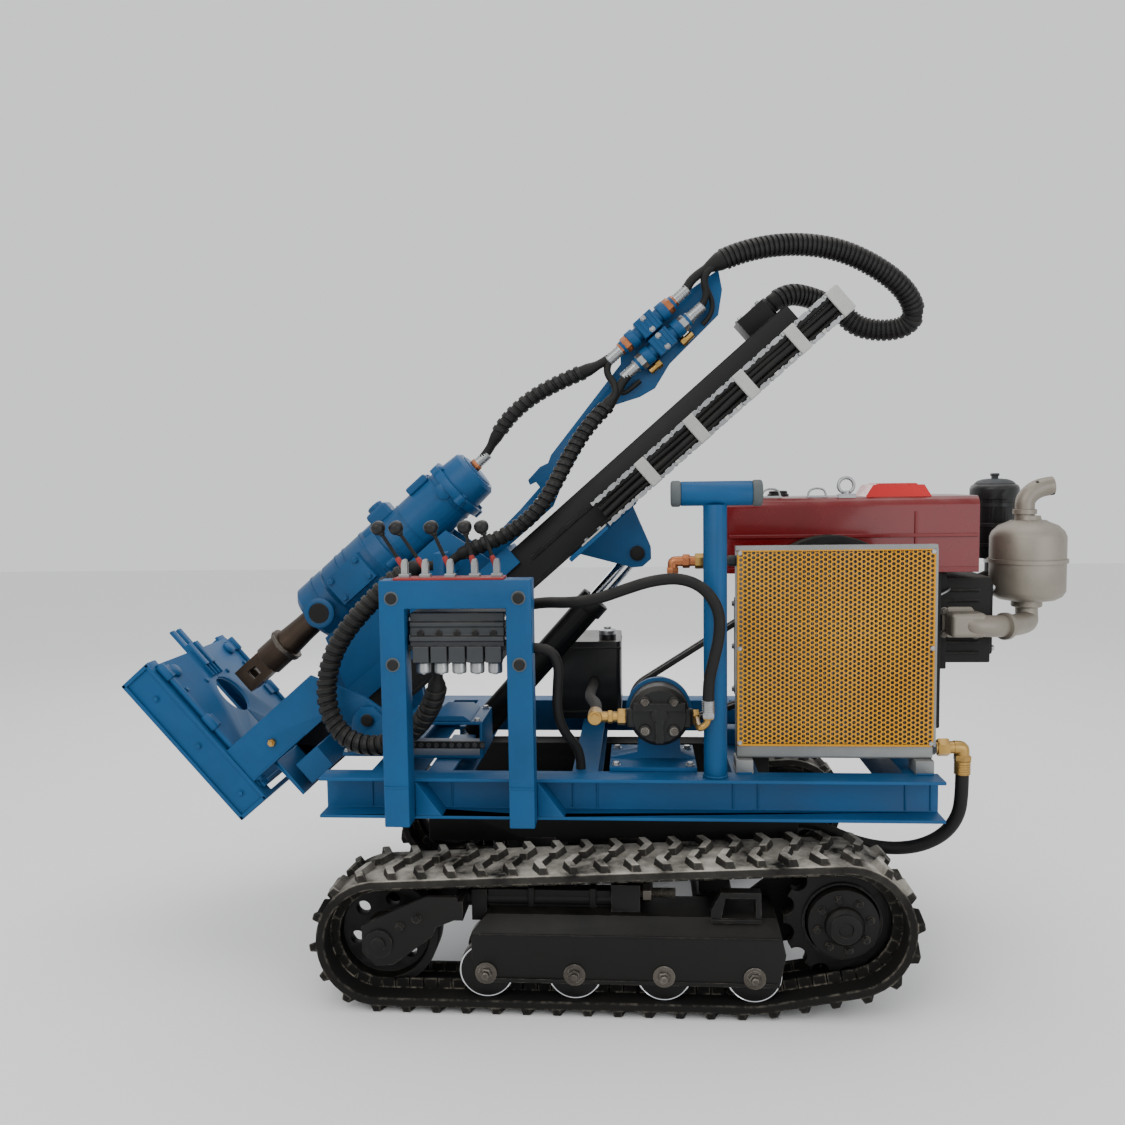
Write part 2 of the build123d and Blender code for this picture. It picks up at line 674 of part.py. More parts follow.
muffler += sweep(Plane(origin=pipe_start, z_dir=(5, -45, 0)) * Circle(28), path=pipe_path)
muffler += block(port_x - 43, port_x + 43, -head_half_width - 12, -head_half_width, 838, 922)
tail_path = FilletPolyline(
    (muffler_x - 10, 0, muffler_top - 6), (muffler_x - 10, 0, muffler_top + 50), (muffler_x + 22, 0, muffler_top + 84),
    (muffler_x + 62, 0, muffler_top + 92), radius=[40, 34],
)
muffler += sweep(Plane(origin=(muffler_x - 10, 0, muffler_top - 6), z_dir=(0, 0, 1)) * Circle(25), path=tail_path)
nodes["muffler"] = muffler

# Oil cooler with its guard, on two feet on the near rail
cooler_y1 = cooler_front_y + cooler_depth
cooler = block(cooler_left, cooler_right, cooler_front_y, cooler_y1, cooler_bottom, cooler_top)
cooler = fillet(cooler.edges().filter_by(Axis.X), 6)
core_gap = 14.0
cooler -= block(cooler_left + 30, cooler_right - 30, cooler_y1 - core_gap, cooler_y1 + 1, cooler_bottom + 50, cooler_top - 40)
for x0, x1 in ((cooler_left - 4, cooler_left + 37), (cooler_right - 44, cooler_right - 1)):
    cooler += block(x0, x1, cooler_front_y - 20, cooler_y1, rail_top, cooler_bottom)
nodes["oil_cooler"] = cooler
guard = block(cooler_left, cooler_right, cooler_front_y - 9, cooler_front_y - 6, guard_bottom, cooler_top)
guard += block(cooler_left, cooler_left + 4, cooler_front_y - 9, cooler_front_y, guard_bottom, cooler_top)
guard += block(cooler_right - 4, cooler_right, cooler_front_y - 9, cooler_front_y, guard_bottom, cooler_top)
nodes["cooler_guard"] = guard
port_y = cooler_front_y + 28
fittings = lengthwise(port_y, 1071, 158, cooler_left, 13) + lengthwise(port_y, 1071, 212, 250, 19)
fittings += upright(158, port_y, 1042, 1071, 13) + lengthwise(port_y, 1071, 180, 202, 17)
lower = lengthwise(port_y, 612, cooler_right, 850, 15) + lengthwise(port_y, 612, 795, 825, 22)
lower += upright(856, port_y, 545, 627, 16) + upright(856, port_y, 560, 590, 22)
nodes["cooler_fittings"] = Compound([fittings, lower])

# Oil tank on the far half of the deck
tank = block(-180, 20, 150, 390, rail_top, 790)
tank = fillet(tank.edges().filter_by(Axis.Z), 16)
nodes["oil_tank"] = tank + upright(-20, 200, 788, 812, 26)

# Rest post for the mast
nodes["rest_post"] = upright(256, post_y, rail_top, 1210, post_r) + lengthwise(post_y, 1236, 176, 342, post_r + 1)
nodes["rest_pads"] = Compound([lengthwise(post_y, 1236, x, x + 24, post_r + 3) for x in (152, 342)])

# Mast: beam with a wide foot between two cheeks
pivot_s, pivot_n = mast_sn(mast_pivot_x, mast_pivot_z)
beam_top_n = beam_bottom_n + beam_depth
beam = block(beam_low_s, beam_high_s, -beam_half_width, beam_half_width, beam_bottom_n, beam_top_n)
cavity = block(
    beam_low_s - 1, beam_high_s + 1, -beam_half_width + 8, beam_half_width - 8, beam_bottom_n + 8, beam_top_n - 8
)
beam -= cavity
cheek_inner = mast_half_width - cheek_plate
foot_low_s = beam_low_s + 30
beam += block(foot_low_s, foot_low_s + 80, -cheek_inner, cheek_inner, beam_bottom_n + 6, beam_top_n - 46)
nodes["mast_beam"] = on_mast(beam)

cheek_outline = [
    (guide_s, cheek_low_n), (pivot_s - 75, cheek_low_n), (pivot_s - 40, pivot_n - 20), (pivot_s - 26, pivot_n - 40), (pivot_s + 26, pivot_n - 40),
    (pivot_s + 42, pivot_n), (pivot_s + 30, pivot_n + 50), (-100, 1100), (guide_s, 1100),
]
front = None
for side in (-1, 1):
    y0, y1 = side * cheek_inner, side * mast_half_width
    cheek = side_profile(cheek_outline, min(y0, y1), max(y0, y1))
    cheek -= across(pivot_s, pivot_n, min(y0, y1) - 1, max(y0, y1) + 1, pin_r + 5 + pin_gap)
    lip0, lip1 = side * (mast_half_width - 60), side * mast_half_width
    skirt = block(skirt_low_s, guide_s, min(y0, y1), max(y0, y1), 933, 1418)
    skirt += block(skirt_low_s, skirt_low_s + 10, min(lip0, lip1), max(lip0, lip1), 933, 1418)
    ledge0, ledge1 = side * (mast_half_width - 46), side * mast_half_width
    skirt += block(guide_s - 8, guide_s, min(ledge0, ledge1), max(ledge0, ledge1), 933, 1418)
    piece = cheek + skirt
    front = piece if front is None else front + piece
front += block(skirt_low_s, guide_s, -cheek_inner, cheek_inner, 933, 945)
front += block(beam_low_s - 10, beam_low_s, -cheek_inner, cheek_inner, beam_bottom_n, 990)
nodes["front_frame"] = on_mast(front)

# Guide plates: two leaves that meet on the drilling axis and leave the guide hole
for name, side in (("guide_near", -1), ("guide_far", 1)):
    y0, y1 = side * 0.5, side * (mast_half_width - 16)
    leaf = block(guide_s + 0.3, guide_s + 0.3 + guide_plate, min(y0, y1), max(y0, y1), guide_low_n, guide_high_n)
    ear0, ear1 = side * 9, side * 32
    leaf += block(guide_s + 0.3, guide_s + 0.3 + guide_plate, min(ear0, ear1), max(ear0, ear1), guide_high_n, guide_high_n + 80)
    leaf += block(guide_s + 6, guide_s + 24, min(ear0, ear1), max(ear0, ear1), guide_high_n - 60, guide_high_n + 20)
    leaf -= Pos(guide_s, 0, head_axis_n) * Rot(0, 90, 0) * Cylinder(guide_bore_r, 80)
    nodes[name] = on_mast(leaf)

# Bracket under the mast for the lift cylinder's eye and the cable chain's fixed end
lug_s, lug_n = mast_sn(lift_lug_x, lift_lug_z)
rod_eye_half = 26.0
lug_outline = [(lug_s - 130, beam_bottom_n), (lug_s - 36, lug_n - 22), (lug_s - 14, lug_n - 38), (lug_s + 18, lug_n - 38),
               (lug_s + 38, lug_n - 14), (lug_s + 80, beam_bottom_n)]
bracket = None
for y0 in (-rod_eye_half - rod_eye_gap - 14, rod_eye_half + rod_eye_gap):
    plate = side_profile(lug_outline, y0, y0 + 14)
    bracket = plate if bracket is None else bracket + plate
bracket += block(lug_s - 140, lug_s + 90, -60, 60, beam_bottom_n - 12, beam_bottom_n)
bracket += block(lug_s - 140, chain_low_s - 4, -175, 60, beam_bottom_n - 12, beam_bottom_n)
bracket += across(lug_s, lug_n, -rod_eye_half - rod_eye_gap - 22, -rod_eye_half - rod_eye_gap, pin_r + 6)
bracket += across(lug_s, lug_n, rod_eye_half + rod_eye_gap, rod_eye_half + rod_eye_gap + 22, pin_r + 6)
nodes["lift_bracket"] = on_mast(bracket)

# Cable chain along the near side of the beam
chain_mid_y = (chain_y0 + chain_y1) / 2
link_length, link_count, link_plate = 105.0, 10, 4.0
link_pitch = (chain_high_s - chain_low_s - link_length) / (link_count - 1)
link_form = Rectangle(link_length, chain_y1 - chain_y0 - 14)
chain = None
for i in range(link_count):
    s = chain_low_s + link_length / 2 + link_pitch * i
    inset = link_plate * (i % 2) * 0.9
    for n in (chain_low_n + inset, chain_high_n - link_plate - inset):
        link = extrude(Plane(origin=(s, chain_mid_y, n)) * link_form, amount=link_plate)
        chain = link if chain is None else chain + link
for s in chain_bars:
    chain += block(s - 17, s + 17, chain_y0, chain_y1, chain_low_n, chain_high_n)
line_r = 6.5
for i in range(4):
    n = chain_low_n + 16 + 16 * i
    y = chain_mid_y - 18 + 4 * (i % 2)
    chain += block(chain_low_s + 14, chain_high_s - 14, y - line_r, y + line_r, n - line_r, n + line_r)
nodes["cable_chain"] = on_mast(chain)

# Feed motor on the beam's top end
feed_n = beam_top_n + 32
feed_y = 64.0
feed_motor = block(1380, 1470, feed_y - 50, feed_y + 50, beam_top_n, beam_top_n + 58)
feed_motor += lengthwise(feed_y, feed_n, 1470, 1484, 29)
nodes["feed_motor"] = on_mast(feed_motor)

# Lift cylinder: barrel on the chassis pin, rod with its eye in the mast's bracket
reach = Vector(lift_lug_x - lift_base_x, 0, lift_lug_z - lift_base_z)
lift_plane = Plane(origin=(lift_base_x, 0, lift_base_z), x_dir=(0, 1, 0), z_dir=reach)
eye_r = 26.0
barrel = Pos(0, 0, (30 + lift_barrel_length) / 2) * Cylinder(lift_barrel_r, lift_barrel_length - 30)
barrel += Pos(0, 0, lift_barrel_length - 20) * Cylinder(lift_barrel_r + 6, 40)
barrel += Rot(0, 90, 0) * Cylinder(eye_r, 2 * lift_eye_half) + Pos(0, 0, 22) * Box(2 * lift_eye_half, 30, 30)
barrel -= Rot(0, 90, 0) * Cylinder(pin_r + pin_gap, 100)
barrel -= Pos(0, 0, 60 + lift_barrel_length / 2) * Cylinder(lift_rod_r + 6, lift_barrel_length - 80)
barrel -= Pos(0, 0, lift_barrel_length) * Cylinder(lift_rod_r + pin_gap, 120)
nodes["lift_barrel"] = lift_plane * barrel
rod_start = 130.0
rod = Pos(0, 0, (rod_start + reach.length - 20) / 2) * Cylinder(lift_rod_r, reach.length - 20 - rod_start)
rod += Pos(0, 0, reach.length) * Rot(0, 90, 0) * Cylinder(eye_r, 2 * rod_eye_half)
nodes["lift_rod"] = lift_plane * rod

# Carriage that rides along the beam and carries the head
carriage_low_n = beam_top_n + slide_gap
shoe_y0 = beam_half_width + slide_gap
carriage = block(carriage_low_s, carriage_high_s, -shoe_y0 - carriage_plate, shoe_y0 + carriage_plate, carriage_low_n, carriage_low_n + 16)
for side in (-1, 1):
    y0, y1 = side * shoe_y0, side * (shoe_y0 + carriage_plate)
    carriage += block(carriage_low_s, carriage_high_s, min(y0, y1), max(y0, y1), beam_top_n - 40, carriage_low_n + 16)
    web0, web1 = side * 50, side * 64
    carriage += side_profile(
        [(-120, carriage_low_n + 10), (440, carriage_low_n + 10), (400, head_axis_n - 70), (230, head_axis_n - 60), (200, head_axis_n - 30),
         (-50, head_axis_n - 30), (-90, carriage_low_n + 90)], min(web0, web1), max(web0, web1),
    )
head_form = Pos((gearbox_low_s + motor_high_s) / 2, 0, head_axis_n) * Rot(0, 90, 0) * Cylinder(gearbox_r + 0.3, motor_high_s - gearbox_low_s + 60)
carriage -= head_form
carriage += block(330, 360, -146, -60, 1052, 1112)
nodes["carriage"] = on_mast(carriage)

# Head: gearbox, flange, motor and end cap on one axis
head = turned_lengthwise(
    0, head_axis_n,
    [(gearbox_low_s, 0), (gearbox_low_s, gearbox_r - 16), (gearbox_low_s + 16, gearbox_r), (gearbox_low_s + 100, gearbox_r),
     (gearbox_low_s + 106, gearbox_r - 6), (gearbox_low_s + 112, gearbox_r), (gearbox_high_s, gearbox_r), (gearbox_high_s + 8, motor_r + 14),
     (gearbox_high_s + 34, motor_r + 14), (gearbox_high_s + 34, motor_r), (motor_high_s - 90, motor_r), (motor_high_s - 90, motor_r + 12),
     (motor_high_s - 66, motor_r + 12), (motor_high_s - 66, motor_r - 2), (motor_high_s - 10, motor_r - 6), (motor_high_s, motor_r - 16), (motor_high_s, 0)],
)
head += block(60, 180, -gearbox_r - 26, -gearbox_r + 30, head_axis_n - 40, head_axis_n + 46)
head += across(-10, head_axis_n - 10, -gearbox_r - 24, -gearbox_r + 20, 26) - across(-10, head_axis_n - 10, -gearbox_r - 30, -gearbox_r, 16)
nodes["drill_head"] = on_mast(head)

# Spindle with its chuck: stepped shaft, ring collar and a square end with a cross slot
spindle = turned_lengthwise(
    0, head_axis_n,
    [(chuck_low_s + 88, 0), (chuck_low_s + 88, chuck_r), (chuck_low_s + 150, chuck_r), (chuck_low_s + 150, chuck_r + 6),
     (chuck_low_s + 166, chuck_r + 6), (chuck_low_s + 166, chuck_r - 4), (chuck_low_s + 230, chuck_r - 8),
     (gearbox_low_s - rolling_gap, 36), (gearbox_low_s - rolling_gap, 0)],
)
spindle += block(chuck_low_s, chuck_low_s + 90, -36, 36, head_axis_n - 36, head_axis_n + 36)
spindle -= Pos(chuck_low_s + 30, 0, head_axis_n) * Rot(0, 90, 0) * Cylinder(22, 100)
spindle -= block(chuck_low_s + 30, chuck_low_s + 60, -40, 40, head_axis_n - 14, head_axis_n + 14)
nodes["spindle"] = on_mast(spindle)

# Hose arm: a plate from the carriage up along the mast, with the bulkhead block
arm_y = 0.0
arm_low_n = carriage_low_n + 16.3
arm = side_profile(
    [(420, arm_low_n), (664, arm_low_n), (722, 1040), (887, 1098), (960, 1116), (1046, 1077), (1093, 1067), (1167, 1090),
     (1352, 1100), (1404, 1144), (arm_high_s, 1192), (1340, 1203), (1206, 1216), (1091, 1210), (1066, 1180), (960, 1160),
     (755, 1123), (734, 1112), (710, 1119), (660, 1114), (655, 1100), (673, 1095), (672, 1077), (587, 1067), (420, 1056)],
    arm_y - 6, arm_y + 6,
)
arm -= [across(s, n, arm_y - 10, arm_y + 10, r) for s, n, r in ((640, 1046, 14), (1251, 1115, 14), (905, 1126, 8))]
clamp_low_s = (bulkhead_low_s + bulkhead_high_s) / 2 - 30
for n in bulkhead_rows:
    arm += block(clamp_low_s, clamp_low_s + 60, bulkhead_y - 27, arm_y - 6, n - 27, n + 27)
    arm += lengthwise(bulkhead_y, n, bulkhead_low_s, bulkhead_high_s, 19)
    for s in (bulkhead_low_s + 26, bulkhead_high_s - 50):
        arm += lengthwise(bulkhead_y, n, s, s + 24, 25)
nodes["hose_arm"] = on_mast(arm)

# Brass fittings of the pump: suction elbow on the left, outlet elbow on the right
port_z = pump_z - 8
outlet_top = 752.0
pump_port_y = pump_front_y + 30
suction = lengthwise(pump_port_y, port_z, -36, 2 * pump_x - pump_port_x - 0.3, 13) + lengthwise(pump_port_y, port_z, 6, 26, 20)
suction += across(-36, port_z, pump_port_y - 16, pump_port_y + 40, 19)
outlet_y = post_y - post_r - 18.0
outlet_x = pump_x + 113.0
elbow_step = 22.0
outlet_path = FilletPolyline(
    (outlet_x - elbow_step, pump_port_y + 4, port_z), (outlet_x - elbow_step, outlet_y, port_z), (outlet_x, outlet_y, port_z + 16),
    (outlet_x, outlet_y, outlet_top), radius=[11, 14],
)
outlet = sweep(Plane(origin=(outlet_x - elbow_step, pump_port_y + 4, port_z), z_dir=(0, -1, 0)) * Circle(8), path=outlet_path)
outlet += upright(outlet_x, outlet_y, outlet_top - 24, outlet_top, 15)
outlet += lengthwise(pump_port_y, port_z, pump_port_x + 0.3, outlet_x - 14, 14)
nodes["pump_fittings"] = Compound([suction, outlet])

# Hoses, each with its diameter, its body's route points and a fixed end at both sides
low_row, high_row = bulkhead_rows
low_port_s, high_port_s = bulkhead_low_s - 0.3, bulkhead_high_s + 0.3
hose_routes = {
    "loop_hose": (60, [
        (*mast_xz(high_port_s, high_row), bulkhead_y), (*mast_xz(high_port_s + 44, high_row), bulkhead_y), (226, 1812, -40), (306, 1860, -40), (404, 1890, -30), (512, 1902, -6),
        (622, 1888, 10), (722, 1845, 24), (806, 1786, 40), (846, 1722, 62), (826, 1684, 84), (762, 1676, 100), (692, 1692, 108),
        (*mast_xz(1630, 884), 110), (*mast_xz(1590, 972), 96), (*mast_xz(1536, feed_n), feed_y), (*mast_xz(1484.3, feed_n), feed_y),
    ]),
    "head_hose": (44, [
        (*mast_xz(motor_high_s + 0.3, 1244), 0), (*mast_xz(motor_high_s + 46, 1244), 0), (-318, 1400, -8), (-280, 1452, -12),
        (-216, 1504, -18), (-130, 1546, -28), (*mast_xz(1040, high_row), bulkhead_y), (*mast_xz(low_port_s, high_row), bulkhead_y),
    ]),
    "bulkhead_hose": (44, [
        (*mast_xz(low_port_s, low_row), bulkhead_y), (*mast_xz(1052, low_row), bulkhead_y), (10, 1488, -52), (-54, 1424, -80), (-104, 1348, -98),
        (-144, 1270, -112), (-184, 1204, -120), (-242, 1150, -122), (-310, 1112, -122), (*mast_xz(402, 1082), -116),
        (*mast_xz(360.3, 1082), -116),
    ]),
    "valve_hose": (52, [
        (-412, 844.7, -448), (-412, 788, -448), (-438, 716, -420), (-492, 648, -382), (-562, 606, -352), (-640, 600, -340),
        (-700, 634, -332), (-730, 700, -324), (-730, 776, -318), (-706, 850, -314), (-660, 916, -312), (-606, 972, -310),
        (-556, 1020, -310), (-490, 1060, -310), (-440.3, 1060, -310),
    ]),
    "pump_hose": (27, [
        (-290, 940, bank_y1 + 0.3), (-290, 940, -400), (-254, 952, -380), (-206, 966, -386), (-152, 977, -412), (-92, 979, -446),
        (-24, 990, -472), (40, 1014, -486), (106, 1036, -494), (174, 1042, -496), (228, 1018, -496), (262, 966, -494), (262, 904, -496),
        (246, 840, -494), (outlet_x, 792, outlet_y), (outlet_x, outlet_top + 0.3, outlet_y),
    ]),
    "return_hose": (24, [
        (-171.7, 880, -505), (-134, 880, -505), (-114, 838, -496), (-120, 780, -478), (-124, 716, -460), (-108, 656, -426),
        (-72, 604, -384), (-72, 557.3, -384),
    ]),
    "cooler_hose": (32, [
        (856, 544.7, port_y), (856, 498, port_y), (852, 440, -364), (824, 388, -350), (772, 352, -334), (706, 338, -320),
        (634, 344, -306), (560, 370, -298), (512, 394, -290), (470.3, 394, -290),
    ]),
    "suction_hose": (30, [
        (-36, port_z, pump_port_y + 40.3), (-36, 684, -280), (-42, 680, -190), (-56, 668, -100), (-66, 662, -12), (-64, 664, 60),
        (-60, 668, 104), (-60, 668, 149.7),
    ]),
}
for name, (diameter, route) in hose_routes.items():
    nodes[name] = hose(name, [(x, y, z) for x, z, y in route], diameter)

os.makedirs("parts", exist_ok=True)
for name, shape in nodes.items():
    export_step(shape, f"parts/{name}.step")
    print(name, "solids", len(shape.solids()), "volume", round(shape.volume / 1e6, 3), "litres")
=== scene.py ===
# Crawler drilling rig, dressed around its fixed frame. All sizes are in metres.
import json
import random
from math import asin, atan2, ceil, cos, degrees, hypot, pi, radians, sin, tan

import bpy
from mathutils import Matrix, Vector

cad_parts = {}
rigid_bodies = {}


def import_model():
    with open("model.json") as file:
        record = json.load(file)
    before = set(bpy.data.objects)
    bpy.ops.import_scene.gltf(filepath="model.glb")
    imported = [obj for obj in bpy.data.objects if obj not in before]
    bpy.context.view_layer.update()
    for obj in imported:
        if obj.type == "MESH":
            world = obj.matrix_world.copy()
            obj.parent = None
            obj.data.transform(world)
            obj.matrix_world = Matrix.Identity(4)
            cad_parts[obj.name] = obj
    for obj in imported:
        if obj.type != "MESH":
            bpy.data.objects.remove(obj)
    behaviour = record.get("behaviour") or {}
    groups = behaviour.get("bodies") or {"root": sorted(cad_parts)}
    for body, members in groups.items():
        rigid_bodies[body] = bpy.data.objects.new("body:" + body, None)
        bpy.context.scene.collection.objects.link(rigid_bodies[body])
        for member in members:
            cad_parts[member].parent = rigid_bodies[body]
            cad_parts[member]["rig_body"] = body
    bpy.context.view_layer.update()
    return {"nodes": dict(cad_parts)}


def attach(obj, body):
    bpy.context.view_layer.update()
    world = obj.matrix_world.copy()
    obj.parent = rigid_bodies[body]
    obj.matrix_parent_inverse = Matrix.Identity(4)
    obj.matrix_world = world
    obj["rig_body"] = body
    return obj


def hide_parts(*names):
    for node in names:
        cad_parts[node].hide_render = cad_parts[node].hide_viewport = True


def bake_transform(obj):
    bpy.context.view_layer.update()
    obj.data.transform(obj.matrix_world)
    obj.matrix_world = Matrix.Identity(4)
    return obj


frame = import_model()
random.seed(7)
nearZero = 0.00001
plusX, minusX, plusY, minusY, plusZ, minusZ = (1, 0, 0), (-1, 0, 0), (0, 1, 0), (0, -1, 0), (0, 0, 1), (0, 0, -1)

# Pieces of the mast are drawn level, in s along it and n away from it, and are turned onto it when they are settled
mastTurn = Matrix.Rotation(-radians(41), 4, "Y")
fromMast = mastTurn.inverted()
mastBodies = ("mast", "head", "spindle")


# Colours are written as they look on a screen, from 0 to 255
def screenColour(red, green, blue):
    linear = []
    for value in (red, green, blue):
        share = value / 255
        linear.append(share / 12.92 if share <= 0.04045 else ((share + 0.055) / 1.055) ** 2.4)
    return (*linear, 1.0)


# A new node: a socket among its values is linked, and any other value is set
def addNode(tree, kind, values=None, **settings):
    node = tree.nodes.new(kind)
    for key, value in settings.items():
        setattr(node, key, value)
    for key, value in (values or {}).items():
        if isinstance(value, bpy.types.NodeSocket):
            tree.links.new(value, node.inputs[key])
        else:
            node.inputs[key].default_value = value
    return node


def mathNode(tree, operation, first, second, clamp=False):
    return addNode(tree, "ShaderNodeMath", {0: first, 1: second}, operation=operation, use_clamp=clamp).outputs[0]


def rangeNode(tree, source, low, high, toLow=0.0, toHigh=1.0):
    values = {"Value": source, "From Min": low, "From Max": high, "To Min": toLow, "To Max": toHigh}
    return addNode(tree, "ShaderNodeMapRange", values, clamp=True).outputs["Result"]


def noiseNode(tree, vector, scale, detail, rough):
    values = {"Vector": vector, "Scale": scale, "Detail": detail, "Roughness": rough}
    return addNode(tree, "ShaderNodeTexNoise", values).outputs["Fac"]


def mixColour(tree, factor, first, second):
    return addNode(tree, "ShaderNodeMix", {"Factor": factor, 6: first, 7: second}, data_type="RGBA").outputs[2]


# Shared effects, each a node group with named sockets
def newGroup(name, inputs, outputs):
    group = bpy.data.node_groups.new(name, "ShaderNodeTree")
    group.interface.new_socket(name="Vector", in_out="INPUT", socket_type="NodeSocketVector")
    for socketName, value in inputs.items():
        group.interface.new_socket(name=socketName, in_out="INPUT", socket_type="NodeSocketFloat").default_value = value
    for socketName, kind in outputs.items():
        group.interface.new_socket(name=socketName, in_out="OUTPUT", socket_type="NodeSocket" + kind)
    return group, group.nodes.new("NodeGroupInput").outputs, group.nodes.new("NodeGroupOutput").inputs


def makeWearGroup():
    group, source, result = newGroup("edge wear", {"Radius": 0.002, "Amount": 0.5}, {"Mask": "Float"})
    rounded = addNode(group, "ShaderNodeBevel", {"Radius": source["Radius"]}, samples=4)
    flat = addNode(group, "ShaderNodeNewGeometry")
    product = addNode(group, "ShaderNodeVectorMath", {0: rounded.outputs[0], 1: flat.outputs["Normal"]},
                      operation="DOT_PRODUCT")
    edge = rangeNode(group, product.outputs["Value"], 0.995, 0.90)
    patches = rangeNode(group, noiseNode(group, source["Vector"], 38, 6, 0.7), 0.46, 0.62)
    mask = mathNode(group, "MULTIPLY", edge, patches)
    group.links.new(mathNode(group, "MULTIPLY", mask, source["Amount"], True), result["Mask"])
    return group


def makeDustGroup():
    group, source, result = newGroup("settled dust", {"Amount": 0.3, "Scale": 9.0}, {"Mask": "Float"})
    shape = addNode(group, "ShaderNodeNewGeometry")
    parts = addNode(group, "ShaderNodeSeparateXYZ", {0: shape.outputs["Normal"]})
    upward = rangeNode(group, parts.outputs["Z"], 0.15, 0.9, 0.05, 1.0)
    patches = rangeNode(group, noiseNode(group, source["Vector"], source["Scale"], 6.0, 0.65), 0.35, 0.7)
    mask = mathNode(group, "MULTIPLY", upward, patches)
    group.links.new(mathNode(group, "MULTIPLY", mask, source["Amount"], True), result["Mask"])
    return group


def makeGrainGroup():
    group, source, result = newGroup("surface grain", {"Scale": 200.0, "Depth": 0.0003, "Strength": 0.3},
                                     {"Normal": "Vector", "Tone": "Float"})
    height = noiseNode(group, source["Vector"], source["Scale"], 5.0, 0.6)
    bump = addNode(group, "ShaderNodeBump", {"Distance": source["Depth"], "Strength": source["Strength"], "Height": height})
    group.links.new(bump.outputs["Normal"], result["Normal"])
    slow = noiseNode(group, source["Vector"], 3.2, 7, 0.68)
    group.links.new(rangeNode(group, slow, 0.3, 0.7), result["Tone"])
    return group


effects = {"wear": makeWearGroup(), "dust": makeDustGroup(), "grain": makeGrainGroup()}


# One finish: colour with slow changes of tone, bare edges, settled dust, grain in its surface
def makeFinish(name, facts):
    material = bpy.data.materials.new(name)
    material.use_nodes = True
    tree = material.node_tree
    shader = tree.nodes["Principled BSDF"].inputs
    vector = addNode(tree, "ShaderNodeTexCoord").outputs["Object"]

    def effect(kind, **values):
        return addNode(tree, "ShaderNodeGroup", {"Vector": vector, **values}, node_tree=effects[kind]).outputs

    grain = effect("grain", Scale=facts.get("grain", 240.0), Depth=facts.get("depth", 0.0004),
                   Strength=facts.get("bump", 0.25))
    colour = mixColour(tree, grain["Tone"], screenColour(*facts["dark"]), screenColour(*facts["light"]))
    rough = rangeNode(tree, grain["Tone"], 0.0, 1.0, *facts["rough"])
    if "wear" in facts:
        wear = effect("wear", Radius=facts.get("wearRadius", 0.0025), Amount=facts["wear"])
        colour = mixColour(tree, wear["Mask"], colour, screenColour(*facts.get("bare", (118, 112, 104))))
    if "dust" in facts:
        mask = effect("dust", Amount=facts["dust"], Scale=9.0)["Mask"]
        if "dustFrom" in facts:
            place = addNode(tree, "ShaderNodeSeparateXYZ", {0: vector})
            mask = mathNode(tree, "MULTIPLY", mask, rangeNode(tree, place.outputs["Z"], *facts["dustFrom"]))
        colour = mixColour(tree, mask, colour, screenColour(*facts.get("dustTone", (128, 122, 110))))
        rough = mathNode(tree, "ADD", rough, mathNode(tree, "MULTIPLY", mask, 0.5), True)
    for output, key in ((grain["Normal"], "Normal"), (colour, "Base Color"), (rough, "Roughness")):
        tree.links.new(output, shader[key])
    metal = facts.get("metal", 0.0)
    shader["Metallic"].default_value = metal
    shader["Specular IOR Level"].default_value = 0.5 if metal > 0.3 else 0.26
    shader["Coat Weight"].default_value = facts.get("coat", 0.0)
    shader["Coat Roughness"].default_value = facts.get("coatRough", 0.2)
    return material


